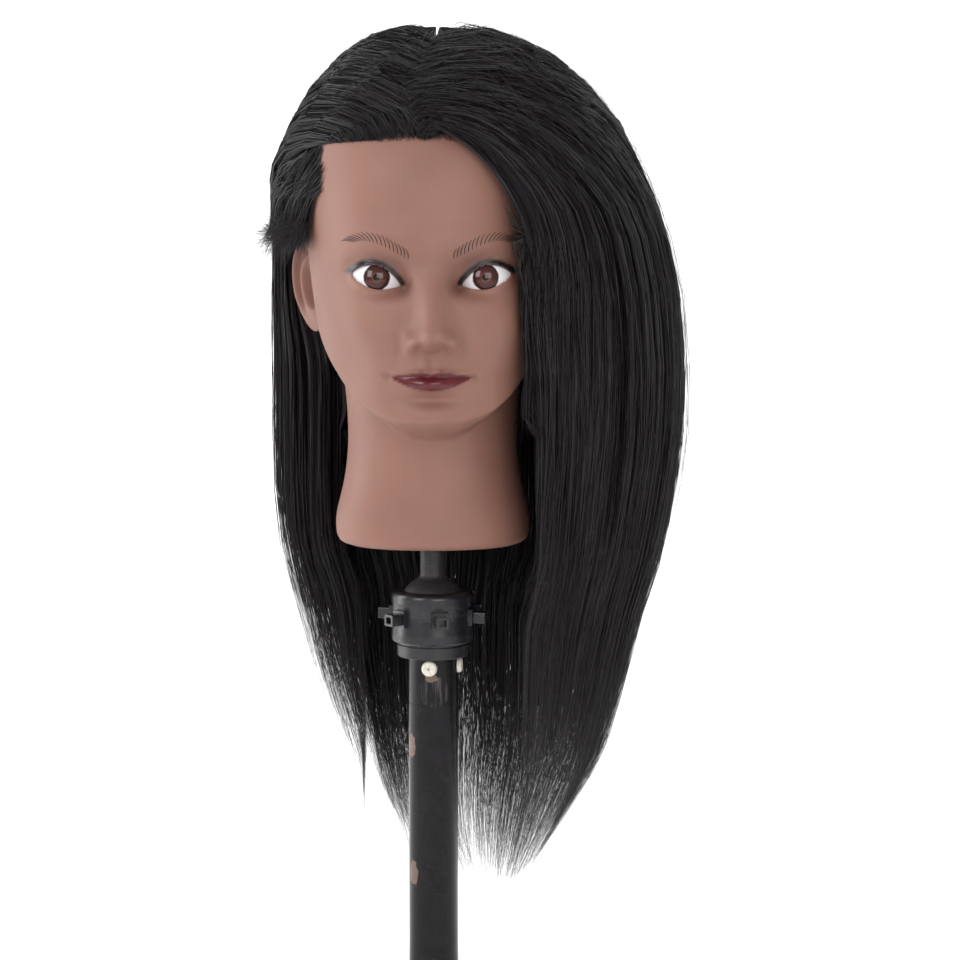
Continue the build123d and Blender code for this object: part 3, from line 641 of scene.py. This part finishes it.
brow_curve = bpy.data.curves.new("brow_strokes", "CURVE")
brow_curve.dimensions = "3D"
brow_curve.bevel_depth = STROKE_RADIUS
brow_curve.bevel_resolution = 1
brow_curve.use_fill_caps = True
feet, tips = smooth_line(BROW_FOOT, BROW_STROKES), smooth_line(BROW_TIP, BROW_STROKES)
for side in (-1, 1):
    for foot, tip in zip(feet, tips):
        stroke = brow_curve.splines.new("POLY")
        stroke.points.add(STROKE_STEPS)
        for i, point in enumerate(stroke.points):
            share = i / STROKE_STEPS
            bow = STROKE_BOW * sin(pi * share)
            way = (tip - foot) / np.linalg.norm(tip - foot)
            at_x, at_z = foot + (tip - foot) * share + bow * np.array((-way[1], way[0]))
            place = on_skin(side * at_x, at_z, 0.00002)
            point.co = (*place, 1)
            point.radius = 0.35 + 0.75 * sin(pi * (0.12 + 0.80 * share)) * (1 - 0.35 * share)
brow_thing = bpy.data.objects.new("brow_strokes_drawn", brow_curve)
brow_mesh = bmesh.new()
brow_mesh.from_mesh(bpy.data.meshes.new_from_object(brow_thing))
turn_with_head(brow_mesh)
brow_ink = plain_material("brow_ink", (0.05, 0.024, 0.02), 0.6)
ink_tone = ramp(brow_ink, noise(brow_ink, 400.0),
                (0.3, (0.011, 0.006, 0.005)), (0.7, (0.024, 0.013, 0.011)))
feed(brow_ink, "Base Color", ink_tone)
brows = finished(brow_mesh, "brow_strokes", brow_ink, "head")
bpy.data.objects.remove(brow_thing)
print("brow strokes", 2 * BROW_STROKES)

# %% [markdown]
# ## Ears
# Each ear is a grid wrapped round an upright oval: a shallow bowl, a folded rim, an inner ridge and
# a soft lobe. It leans back and stands off the head, and its front edge is sunk into the cheek.

# %% Ears
EAR_HALF, EAR_RISE = 0.0165, 0.0285
EAR_AT = Vector((0.0665, 0.0070, 0.4055))
EAR_STANDS = radians(40)          # how far the ear turns away from the side of the head
EAR_LEAN = radians(7)

for side, name in ((-1, "left_ear"), (1, "right_ear")):
    ear_mesh = bmesh.new()
    bmesh.ops.create_grid(ear_mesh, x_segments=73, y_segments=30, size=0.5)
    flat = np.array([vert.co[:] for vert in ear_mesh.verts])
    round_ear, out = (flat[:, 0] + 0.5) * 2 * pi, (flat[:, 1] + 0.5) * 1.5
    rim = np.clip(out, 0.02, 1)
    back_side = np.clip(out - 1, 0, 0.5) * 2
    wide = np.where(np.cos(round_ear) > 0, EAR_HALF * (1 + 0.22 * np.sin(round_ear)), 0.72 * EAR_HALF)
    low_lobe = 1 - 0.10 * smooth_step(0.3, 1.0, -np.sin(round_ear))
    along = wide * np.cos(round_ear) * rim * (1 - 0.25 * back_side)
    upward = EAR_RISE * low_lobe * np.sin(round_ear) * rim * (1 - 0.12 * back_side)
    folded = smooth_step(-0.75, -0.1, np.sin(round_ear)) * smooth_step(-1.0, -0.3, np.cos(round_ear))
    proud = (-0.0045 * (1 - smooth_step(0.15, 0.80, rim))
             + 0.0026 * folded * np.exp(-((rim - 0.92) / 0.09) ** 2)
             - 0.0018 * folded * np.exp(-((rim - 0.76) / 0.07) ** 2)
             + 0.0024 * smooth_step(-0.9, 0.2, np.cos(round_ear + 0.2)) * np.exp(-((rim - 0.55) / 0.13) ** 2)
             + 0.0032 * np.exp(-((rim - 0.70) / 0.16) ** 2 - ((np.degrees(round_ear) - 190) / 26) ** 2)
             - 0.0075 * back_side ** 0.8)
    lean_up = upward * cos(EAR_LEAN) - along * sin(EAR_LEAN)
    lean_back = along * cos(EAR_LEAN) + upward * sin(EAR_LEAN)
    ear_x = EAR_AT.x + lean_back * sin(EAR_STANDS) + proud * cos(EAR_STANDS)
    ear_y = EAR_AT.y + lean_back * cos(EAR_STANDS) - proud * sin(EAR_STANDS)
    for vert, ax, ay, az in zip(ear_mesh.verts, ear_x, ear_y, EAR_AT.z + lean_up):
        vert.co = (side * ax, ay, az)
    bmesh.ops.remove_doubles(ear_mesh, verts=ear_mesh.verts[:], dist=0.00002)
    bmesh.ops.recalc_face_normals(ear_mesh, faces=ear_mesh.faces[:])
    turn_with_head(ear_mesh)
    ear = finished(ear_mesh, name, vinyl, "head")
    print(name, "faces", len(ear.data.polygons))

# %% Turn the head a touch, as it stands on the peg
head_data.transform(Matrix.Rotation(HEAD_TURN, 4, "Z"))
head_data.update()
print("head turned by", round(degrees(HEAD_TURN), 1), "degrees")

# %% [markdown]
# ## The holder's finishes
# The holder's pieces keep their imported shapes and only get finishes: gloss black on the tube with
# chips down to the pinkish primer, dusty dark grey on the ball and peg, gloss plastic on the lock
# ring. The chips are drawn in the material from their places on the tube, not painted on a picture.

# %% Helpers for marks on a piece
def near_spot(material, spot, size, ragged=0.35):
    """1 inside a ragged patch round a spot, 0 outside."""
    nodes, links, _ = nodes_of(material)
    place = nodes.new("ShaderNodeTexCoord")
    mapping = nodes.new("ShaderNodeMapping")
    mapping.vector_type = "TEXTURE"
    mapping.inputs["Location"].default_value = spot
    mapping.inputs["Scale"].default_value = size
    length = nodes.new("ShaderNodeVectorMath")
    length.operation = "LENGTH"
    links.new(place.outputs["Object"], mapping.inputs["Vector"])
    links.new(mapping.outputs["Vector"], length.inputs[0])
    rough_edge = nodes.new("ShaderNodeMath")
    rough_edge.operation = "MULTIPLY_ADD"
    rough_edge.inputs[1].default_value = ragged
    links.new(noise(material, 420.0, 3.0), rough_edge.inputs[0])
    links.new(length.outputs["Value"], rough_edge.inputs[2])
    limits = nodes.new("ShaderNodeMapRange")
    limits.inputs["From Min"].default_value = 1.08 + ragged / 2
    limits.inputs["From Max"].default_value = 1.0 + ragged / 2
    links.new(rough_edge.outputs[0], limits.inputs["Value"])
    return limits.outputs["Result"]


def coat_piece(name, material):
    """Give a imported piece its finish."""
    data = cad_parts[name].data
    data.materials.clear()
    data.materials.append(material)


# %% Gloss black tube, chipped and rubbed
TUBE = 0.014
PRIMER = (0.150, 0.098, 0.080)
RUBBED_GREY = (0.085, 0.075, 0.078)
tube_paint = plain_material("chipped_gloss_black", (0.006, 0.005, 0.006), 0.22, Specular_IOR_Level=0.22)
black = ramp(tube_paint, noise(tube_paint, 90.0, 5.0),
             (0.35, (0.0045, 0.0038, 0.0048)), (0.7, (0.010, 0.0085, 0.010)))
rubbed = ramp(tube_paint, noise(tube_paint, 260.0, 4.0, 0.7, (1, 1, 0.06)),
              (0.50, (0, 0, 0)), (0.66, (1, 1, 1)))
rub_nodes, rub_links, _ = nodes_of(tube_paint)
rub_here = rub_nodes.new("ShaderNodeMath")
rub_here.operation = "MULTIPLY"
rub_links.new(rubbed, rub_here.inputs[0])
rub_links.new(near_spot(tube_paint, (0.001, -TUBE, 0.179), (0.0085, 0.006, 0.0085), 0.2),
              rub_here.inputs[1])
grey = mix_colour(tube_paint, rub_here.outputs[0], black, RUBBED_GREY)
for spot, size in (((-0.0122, -0.0070, 0.147), (0.0036, 0.0036, 0.0064)),
                   ((-0.0112, -0.0084, 0.074), (0.0036, 0.0036, 0.0072)),
                   ((-0.0010, -TUBE, 0.1868), (0.0034, 0.0030, 0.0022))):
    grey = mix_colour(tube_paint, near_spot(tube_paint, spot, size, 1.1), grey, PRIMER)
feed(tube_paint, "Base Color", grey)
feed(tube_paint, "Roughness", mix_number(tube_paint, noise(tube_paint, 60.0), 0.14, 0.24))
bump_from(tube_paint, noise(tube_paint, 700.0, 2.0), 0.05, 0.0003)
coat_piece("mast_tube", tube_paint)

# %% Ball and peg: dark grey, dusty
dusty = plain_material("dusty_dark_metal", (0.03, 0.03, 0.03), 0.5, Metallic=0.35)
dust = ramp(dusty, noise(dusty, 1500.0, 5.0, 0.75),
            (0.42, (0.020, 0.018, 0.020)), (0.60, (0.034, 0.031, 0.034)), (0.70, (0.16, 0.15, 0.15)))
feed(dusty, "Base Color", dust)
feed(dusty, "Roughness", mix_number(dusty, noise(dusty, 300.0), 0.38, 0.62))
bump_from(dusty, noise(dusty, 1500.0, 3.0), 0.15, 0.0003)
for name in ("ball", "peg"):
    coat_piece(name, dusty)

# %% Ring, socket and small pieces
def plastic(name, low, high, smooth, rough, grain=250.0):
    """Moulded plastic with a faintly uneven colour and sheen."""
    material = plain_material(name, high, rough, Specular_IOR_Level=0.5)
    feed(material, "Base Color", ramp(material, noise(material, grain), (0.3, low), (0.7, high)))
    feed(material, "Roughness", mix_number(material, noise(material, 0.4 * grain), smooth, rough))
    bump_from(material, noise(material, 4 * grain, 2.0), 0.06, 0.0003)
    return material


PLASTICS = (
    # piece, finish, darker and lighter tone, smoothest and roughest, grain
    ("lock_ring", "gloss_black_ring", (0.008, 0.007, 0.009), (0.014, 0.012, 0.015), 0.22, 0.34, 250.0),
    ("socket_body", "black_socket", (0.010, 0.009, 0.011), (0.017, 0.015, 0.018), 0.30, 0.45, 250.0),
    ("socket_screws", "cream_screws", (0.55, 0.50, 0.43), (0.74, 0.70, 0.62), 0.28, 0.45, 600.0),
)
for name, *finish in PLASTICS:
    coat_piece(name, plastic(*finish))
for name in ("mast_end_plug", "ball_seat", "neck_socket"):
    coat_piece(name, plastic("plain_" + name, (0.020, 0.020, 0.022), (0.035, 0.034, 0.036), 0.40, 0.55))
print("finished pieces", 8)

# %% [markdown]
# ## One map for all the hair
# The real hair is punched into the scalp and combed from a point above the forehead: over the
# crown, behind the ear on one side and in a heavy curtain on the other. Every strand is described
# by a turn round the head, a rise over the dome or a drop below it, and a depth between scalp and
# outside. One map turns those into places, so all layers keep to the same combed shape.

# %% Outside and inside of the hair
# level up the hair, then left, right, front and back as shares of its reach, and squareness
HAIR_ROWS = np.array([
    (0.000, -0.16, 0.35, -0.95, 0.91, 2.5), (0.050, 0.15, 0.45, -0.60, 0.95, 3.0),
    (0.107, 0.42, 0.56, -0.20, 0.97, 4.0), (0.182, 0.60, 0.71, 0.10, 0.98, 4.0),
    (0.270, 0.77, 0.79, 0.32, 0.99, 4.0), (0.356, 0.89, 0.86, 0.43, 1.00, 4.0),
    (0.422, 0.97, 0.93, 0.52, 1.00, 3.5), (0.486, 1.00, 0.97, 0.58, 1.00, 3.2),
    (0.555, 1.00, 1.00, 0.65, 1.00, 3.0), (0.633, 0.99, 1.00, 0.74, 1.00, 2.6),
    (0.711, 0.99, 0.97, 0.83, 1.00, 2.4), (0.793, 0.97, 0.90, 0.99, 0.99, 2.2),
    (0.848, 0.92, 0.81, 0.99, 0.96, 2.1), (0.893, 0.82, 0.73, 0.97, 0.91, 2.1),
    (0.930, 0.71, 0.62, 0.90, 0.84, 2.0), (0.965, 0.54, 0.48, 0.70, 0.68, 2.0),
    (0.987, 0.36, 0.31, 0.44, 0.44, 2.0), (1.000, 0.12, 0.13, 0.12, 0.16, 2.0),
])
hair_tip, hair_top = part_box("hair_fall_right")[0].z - 0.006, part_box("hair_crown")[1].z
hair_left, hair_right = 0.0955, 0.1435
hair_front, hair_back = 0.0885, 0.1155
DOME = 0.430                      # height where the dome of the crown ends and the lengths hang
VOID_HALF, VOID_BACK = 0.0560, 0.0875   # room kept for the neck and the holder
HOLDER_HALF = 0.0420              # the same below the neck, where only the holder stands
HOLDER_TOP, NECK_LOW = 0.215, 0.262   # heights between which one widens into the other
VOID_TOP = 0.350
SKULL_REST = 0.0012
CROWN_X, CROWN_Y = 0.0030, 0.0200   # where the dome closes


def rounded_ring(turn, left, right, front, back, power):
    """A rounded box outline; turn 0 is +X and 90 is the back, in degrees."""
    across, along = np.cos(np.radians(turn)), np.sin(np.radians(turn))
    x = (left + right) / 2 + (right - left) / 2 * np.sign(across) * np.abs(across) ** (2 / power)
    y = (front + back) / 2 + (back - front) / 2 * np.sign(along) * np.abs(along) ** (2 / power)
    return x, y


def room_half(height):
    """Half width kept clear of hair for the neck, or for the holder below it."""
    return HOLDER_HALF + (VOID_HALF - HOLDER_HALF) * smooth_step(HOLDER_TOP, NECK_LOW, height)


def outer_ring(turn, height):
    level = (height - hair_tip) / (hair_top - hair_tip)
    left, right, front, back, power = (np.interp(level, HAIR_ROWS[:, 0], HAIR_ROWS[:, k])
                                       for k in range(1, 6))
    return rounded_ring(turn, -hair_left * left, hair_right * right, -hair_front * front, hair_back * back,
                        np.minimum(power, 2.4))


def inner_ring(turn, height):
    """The scalp above, and the room for neck and holder below."""
    half, front, back = (np.interp(height, FACE_ROWS[:, 0], FACE_ROWS[:, k]) for k in (1, 2, 3))
    head_x, head_y = rounded_ring(turn, -half - SKULL_REST, half + SKULL_REST, -front - SKULL_REST,
                                  back + SKULL_REST, 2.1)
    room = room_half(height)
    room_x, room_y = rounded_ring(turn, -room, room, -0.080, VOID_BACK, 3.0)
    share = smooth_step(VOID_TOP, 0.400, height)
    return room_x + (head_x - room_x) * share, room_y + (head_y - room_y) * share


def hair_place(turn, rise, drop, depth):
    """Turn and rise in degrees, drop below the dome in metres, depth 0 at the scalp and 1 outside."""
    lift = np.sin(np.radians(rise))
    outer_z = np.where(rise > 0, DOME + (hair_top - DOME) * lift, DOME - drop)
    inner_z = np.where(rise > 0, DOME + (skull_top + SKULL_REST - DOME) * lift, DOME - drop)
    outer_x, outer_y = outer_ring(turn, outer_z)
    inner_x, inner_y = inner_ring(turn, inner_z)
    close = np.clip((90 - rise) / 9, 0, 1)
    outer_x, outer_y = CROWN_X + (outer_x - CROWN_X) * close, CROWN_Y + (outer_y - CROWN_Y) * close
    place = np.stack([inner_x + (outer_x - inner_x) * depth, inner_y + (outer_y - inner_y) * depth,
                      inner_z + (outer_z - inner_z) * depth], axis=-1)
    room = room_half(place[..., 2])
    inside = (np.abs(place[..., 0]) < room) & (place[..., 1] < VOID_BACK) & (place[..., 2] < VOID_TOP - 0.02)
    behind = (np.sin(np.radians(turn)) > 0.6) & inside
    beside = inside & ~behind
    place[..., 1] = np.where(behind, VOID_BACK + 0.02 * depth, place[..., 1])
    side = np.sign(np.cos(np.radians(turn)))
    place[..., 0] = np.where(beside, side * (room + 0.004 * depth), place[..., 0])
    return place


print("hair reaches from", round(hair_tip, 3), "to", round(hair_top, 3))

# %% [markdown]
# ## Combed paths
# A strand leaves its root, climbs a little, swings round the dome to the turn where it will hang,
# and then drops to its tip. Neighbouring strands share a lock, and close up towards the tip as
# real hair does. Combing guides by hand would look much the same but could not be resized.

# %% Paths of many strands at once
LOWEST_TIP = np.array([
    # turn, lowest tip height
    (-75, 0.280), (-66, 0.190), (-50, 0.120), (-25, 0.078), (0, 0.048), (30, 0.038), (55, 0.036),
    (110, 0.038), (125, 0.046), (140, 0.068), (160, 0.110), (180, 0.135), (215, 0.330),
])
ROOT_TURN, ROOT_RISE = -92.0, 29.0
LEFT_ROOT = 219.0                 # where the other side's hairline starts, at the temple
EDGE_SWERVE = 3.5                 # the curtain's front edge closes in on the cheek as it falls
luck = np.random.default_rng(11)


def strand_paths(root_turn, root_rise, end_turn, hump, depth, tip, dome_steps=9, hang_steps=14,
                 locks=700, closing=0.7, wander=0.55):
    """Arrays of places, one row for each strand."""
    count = len(root_turn)
    depth = np.maximum(depth, np.interp(end_turn, (-78, -48), (0.97, 0.0)))
    order = np.argsort(end_turn)
    lock_of = np.empty(count, int)
    lock_of[order] = np.arange(count) * locks // count
    lock_turn = np.bincount(lock_of, end_turn, locks) / np.bincount(lock_of, minlength=locks).clip(1)
    lock_depth = np.bincount(lock_of, depth, locks) / np.bincount(lock_of, minlength=locks).clip(1)
    t = np.linspace(0, 1, dome_steps)[None, :]
    ease = smooth_step(0, 1, t ** np.interp(end_turn, (-78, -50), (0.58, 0.9))[:, None])
    turn_up = root_turn[:, None] + (end_turn - root_turn)[:, None] * ease
    rise_up = root_rise[:, None] * (1 - t) + hump[:, None] * 4 * t * (1 - t) * (1 - 0.25 * t)
    at_root = np.interp(end_turn, (-60, -10), (0.88, 0.16))[:, None]
    depth_up = depth[:, None] * (at_root + (1 - at_root) * smooth_step(0.0, 0.42, t))
    h = np.linspace(0, 1, hang_steps + 1)[None, 1:]
    drop = (DOME - tip)[:, None] * h
    near = closing * h ** 1.3
    turn_down = end_turn[:, None] * (1 - near) + lock_turn[lock_of][:, None] * near
    depth_down = depth[:, None] * (1 - near * 0.6) + lock_depth[lock_of][:, None] * near * 0.6
    phase, pace = luck.uniform(0, 6.28, (count, 1)), luck.uniform(2.0, 6.0, (count, 1))
    lock_phase = luck.uniform(0, 6.28, locks)[lock_of][:, None]
    own_wave = 0.9 * np.sin(phase + pace * 2.2 * h)
    lock_wave = 1.1 * (np.sin(lock_phase + 4.5 * h) - np.sin(lock_phase))
    sway = wander * (own_wave + lock_wave)
    edge = np.clip((-46 - end_turn) / 30, 0, 1)[:, None]
    turn_down = turn_down + sway * h ** 0.5 - EDGE_SWERVE * edge * smooth_step(0.02, 0.32, h)
    rise = np.hstack([np.clip(rise_up, 0.001, 89), np.zeros_like(drop) - 1])
    turn = np.hstack([turn_up, turn_down])
    fall = np.hstack([np.zeros_like(turn_up), drop])
    layer = np.hstack([depth_up, depth_down])
    return hair_place(turn, rise, fall, np.clip(layer, 0.0, 1.12))


def tips_for(end_turn, thinning=0.20, power=1.25):
    """Tip heights: most strands stop short of the lowest tips, so the ends thin out."""
    lowest = np.interp(end_turn, LOWEST_TIP[:, 0], LOWEST_TIP[:, 1])
    return lowest + thinning * luck.uniform(0, 1, len(end_turn)) ** power


def right_fan(count, low=0.70, high=1.0):
    """The curtain: from the parting over the crown to the right side and the back."""
    share = luck.uniform(0, 1, count)
    end_turn = -76 + 164 * share
    spread = share ** 0.9
    climb = luck.uniform(0, 1, count) ** 1.5 * spread
    root_turn = ROOT_TURN + luck.normal(0, 1.2, count) + 45 * climb * luck.uniform(-1, 1, count)
    root_rise = ROOT_RISE + 50 * climb
    hump = 2 + 42 * spread ** 0.8 * luck.uniform(0.5, 1.1, count)
    hump = np.minimum(hump, 84 - root_rise * 0.55)
    return root_turn, root_rise, end_turn, hump, luck.uniform(low, high, count), tips_for(end_turn)


def left_sweep(count, low=0.55, high=1.0):
    """The other side: combed up off the forehead and back behind the ear."""
    share = luck.uniform(0, 1, count)
    end_turn = 168 - 80 * share ** 1.1
    along = np.clip(share * 2.0 + luck.normal(0, 0.05, count), 0, 1)
    climb = luck.uniform(0, 1, count) ** 1.5 * np.clip(share * 2 - 0.6, 0, 1)
    root_turn = LEFT_ROOT + 49 * along + luck.normal(0, 1.0, count)
    root_turn = root_turn + 45 * climb * luck.uniform(-1, 1, count)
    root_rise = 28.5 + luck.uniform(0, 1.5, count) + 50 * climb
    hump = (7 + 26 * along + 20 * np.clip(share * 2 - 1, 0, 1)) * luck.uniform(0.8, 1.2, count)
    hump = np.minimum(hump, 84 - root_rise * 0.55)
    fuller = np.interp(end_turn, (135, 160), (1, 1.09))
    return (root_turn, root_rise, end_turn, hump, luck.uniform(low, high, count) * fuller,
            tips_for(end_turn, 0.25, 1.0))


def over_crown(count):
    """Combed straight back over the top, which hides the parting."""
    end_turn = luck.uniform(35, 150, count)
    way = np.sign(90 - end_turn)
    root_turn = np.where(way > 0, ROOT_TURN, 360 + ROOT_TURN) + luck.uniform(-30, 30, count)
    root_rise = luck.uniform(38, 86, count)
    return (root_turn, root_rise, end_turn, 98 - root_rise * 0.5, luck.uniform(0.6, 1.0, count),
            tips_for(end_turn))


def under_layers(count):
    """Hair nearer the scalp, all round except over the face."""
    end_turn = luck.uniform(-36, 168, count)
    root_turn = np.maximum(end_turn + luck.normal(0, 6, count), -34)
    behind_ear = np.clip((end_turn - 145) / 23, 0, 1)
    return (root_turn, luck.uniform(2, 75, count), end_turn, 3 + 0 * end_turn,
            luck.uniform(0.05 + 0.25 * behind_ear, 0.75), tips_for(end_turn, 0.25, 1.0))


def back_curtain(count):
    """Long lengths from the back of the crown, which show behind the neck and the holder."""
    across = luck.uniform(-0.86, 0.86, count)
    end_turn = 90 - np.degrees(np.arcsin(np.sign(across) * np.abs(across) ** 1.2))
    root_turn = end_turn + luck.normal(0, 8, count)
    return (root_turn, luck.uniform(10, 80, count), end_turn, 4 + 0 * end_turn,
            luck.uniform(0.05, 1.0, count), tips_for(end_turn, 0.19, 1.1))


def over_temple(count):
    """Combed down from the hairline's corner, over the top of the ear."""
    front = luck.uniform(0, 1, count)
    end_turn = 172 + 36 * front
    root_turn = 200 + 19 * front + luck.normal(0, 2, count)
    return (root_turn, luck.uniform(14, 30, count), end_turn, 3 + 0 * front,
            luck.uniform(0.1, 1.0, count) * (1 - 0.72 * front), DOME - luck.uniform(0.0005, 0.008, count))


print("example strand tip heights", np.round(tips_for(np.array([-60.0, 0.0, 90.0, 180.0])), 3))

# %% [markdown]
# ## Hair finishes
# Dark brown-black fibre, very slightly purple, with a soft sheen. Three plain materials that
# differ a little are dealt out strand by strand at random. The layers near the scalp and the broad locks get
# mostly the darkest one, which paints shade into the hair under the top layers.

# %% Hair materials
hair_shades = [
    plain_material("hair_dark", (0.0065, 0.0042, 0.0060), 0.44, Specular_IOR_Level=0.34),
    plain_material("hair_middle", (0.0115, 0.0070, 0.0100), 0.38, Specular_IOR_Level=0.42),
    plain_material("hair_light", (0.030, 0.020, 0.024), 0.34, Specular_IOR_Level=0.55),
]


def strand_mesh(name, paths, half_width, shade_odds=(0.5, 0.35, 0.15), taper_from=0.55):
    """Ribbons along the paths, each with its own twist, shade and fine tip."""
    curve = bpy.data.curves.new(name, "CURVE")
    curve.dimensions = "3D"
    curve.extrude = half_width
    steps = paths.shape[1]
    share = np.linspace(0, 1, steps)
    radius = np.interp(share, (0, 0.08, taper_from, 1), (0.5, 1, 1, 0.12)).astype(np.float32)
    for path in paths:
        spline = curve.splines.new("POLY")
        spline.points.add(steps - 1)
        spline.points.foreach_set("co", np.hstack([path, np.ones((steps, 1))]).astype(np.float32).ravel())
        spline.points.foreach_set("radius", radius * luck.uniform(0.7, 1.25))
        spline.points.foreach_set("tilt", np.full(steps, luck.uniform(-1.5, 1.5), np.float32))
        spline.material_index = int(luck.choice(3, p=shade_odds))
    for shade in hair_shades:
        curve.materials.append(shade)
    drawn = bpy.data.objects.new(name + "_drawn", curve)
    data = bpy.data.meshes.new_from_object(drawn)
    bpy.data.objects.remove(drawn)
    data.name = name
    piece = link(bpy.data.objects.new(name, data))
    return piece


def hang(piece):
    """Fix the piece where it stands and print its triangle count."""
    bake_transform(piece)
    print(piece.name, "triangles", 2 * len(piece.data.polygons))
    return piece


# %% Fine strands, one piece for each part of the style
FINE = 0.00018
BROAD = 0.0016
STYLE = (
    # name, family, strands, half width, shade odds
    ("hair_right_1", right_fan, 4200, FINE, (0.50, 0.36, 0.14)),
    ("hair_right_2", right_fan, 4200, FINE, (0.50, 0.36, 0.14)),
    ("hair_left_1", left_sweep, 4200, FINE, (0.44, 0.38, 0.18)),
    ("hair_left_2", left_sweep, 3200, FINE, (0.44, 0.38, 0.18)),
    ("hair_crown_top", over_crown, 3400, FINE, (0.50, 0.36, 0.14)),
    ("hair_back_lengths", back_curtain, 4200, 1.1 * FINE, (0.55, 0.35, 0.10)),
    # the under layers take mostly the dark shade: painted shade under the top hair
    ("hair_under_layers", under_layers, 4200, 1.3 * FINE, (0.70, 0.28, 0.02)),
)
for name, family, count, half_width, odds in STYLE:
    hang(strand_mesh(name, strand_paths(*family(count)), half_width, odds))

# %% Broad dark locks under them, so no scalp or daylight shows through
def shorten(family, tips):
    return family[:5] + (np.maximum(family[5], tips),)


# the broad locks take almost only the darkest shade: painted shade under the top layers
LOCK_PAINTED_SHADE_ODDS = (0.9, 0.1, 0.0)
LOCK_TAPER = 0.7
locks = shorten(under_layers(1100), luck.uniform(0.235, 0.330, 1100))
hang(strand_mesh("hair_under_locks", strand_paths(*locks), BROAD, LOCK_PAINTED_SHADE_ODDS, LOCK_TAPER))
locks = shorten(back_curtain(500), luck.uniform(0.205, 0.290, 500))
hang(strand_mesh("hair_back_locks", strand_paths(*locks), BROAD, LOCK_PAINTED_SHADE_ODDS, LOCK_TAPER))

# %% Ends over the temple that flick out above the ear
TEMPLE = 2600
temple_paths = strand_paths(*over_temple(TEMPLE), dome_steps=16, hang_steps=4)
out = smooth_step(0.50, 1.0, np.linspace(0, 1, temple_paths.shape[1]))[None, :, None]
loose = smooth_step(0.10, 0.8, luck.uniform(0, 1, TEMPLE))[:, None]
fan_out = loose * np.stack([luck.normal(-0.011, 0.005, TEMPLE), luck.normal(-0.003, 0.004, TEMPLE),
                            luck.normal(0.006, 0.008, TEMPLE)], axis=1)
temple_paths = temple_paths + out ** 1.6 * fan_out[:, None, :]
flick = strand_mesh("hair_flick", temple_paths, 0.8 * FINE, (0.3, 0.4, 0.3))
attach(flick, "head")
print("temple strands", TEMPLE)

# %% Short fine hair along the hairline
DOWN_HAIRS = 900
HAIRLINE_HEIGHT = 0.4805
spot_x = luck.uniform(-0.046, 0.018, DOWN_HAIRS)
spot_z = HAIRLINE_HEIGHT + 0.0030 * luck.uniform(-1, 1, DOWN_HAIRS)
roots = np.array([on_skin(px, pz, 0.0001)[:] for px, pz in zip(spot_x, spot_z)])
way = np.stack([luck.normal(-0.0012, 0.0012, DOWN_HAIRS), luck.uniform(-0.0012, -0.0002, DOWN_HAIRS),
                luck.uniform(0.0025, 0.0060, DOWN_HAIRS)], axis=1)
share = np.linspace(0, 1, 5)[None, :, None]
down_paths = roots[:, None, :] + way[:, None, :] * share
fringe = strand_mesh("hairline_down", down_paths, 0.4 * FINE, (0.5, 0.4, 0.1))
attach(fringe, "head")

# %% Flyaways
FLYAWAYS = 260
loose_turn = luck.uniform(-76, 176, FLYAWAYS)
fly = strand_paths(np.where(loose_turn < 90, ROOT_TURN, 360 + ROOT_TURN) + luck.normal(0, 15, FLYAWAYS),
                   luck.uniform(30, 75, FLYAWAYS), loose_turn, luck.uniform(15, 45, FLYAWAYS),
                   np.full(FLYAWAYS, 1.02), tips_for(loose_turn, 0.25, 0.9), closing=0.2, wander=2.2)
away = luck.normal(0, 0.0022, (FLYAWAYS, 1, 3)) * np.sin(np.linspace(0, pi, fly.shape[1]))[None, :, None]
hang(strand_mesh("hair_flyaways", fly + away, 0.45 * FINE, (0.2, 0.5, 0.3)))
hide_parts("hair_crown", "hair_side_left", "hair_nape", "hair_side_right",
            "hair_fall_left", "hair_fall_back", "hair_fall_right")
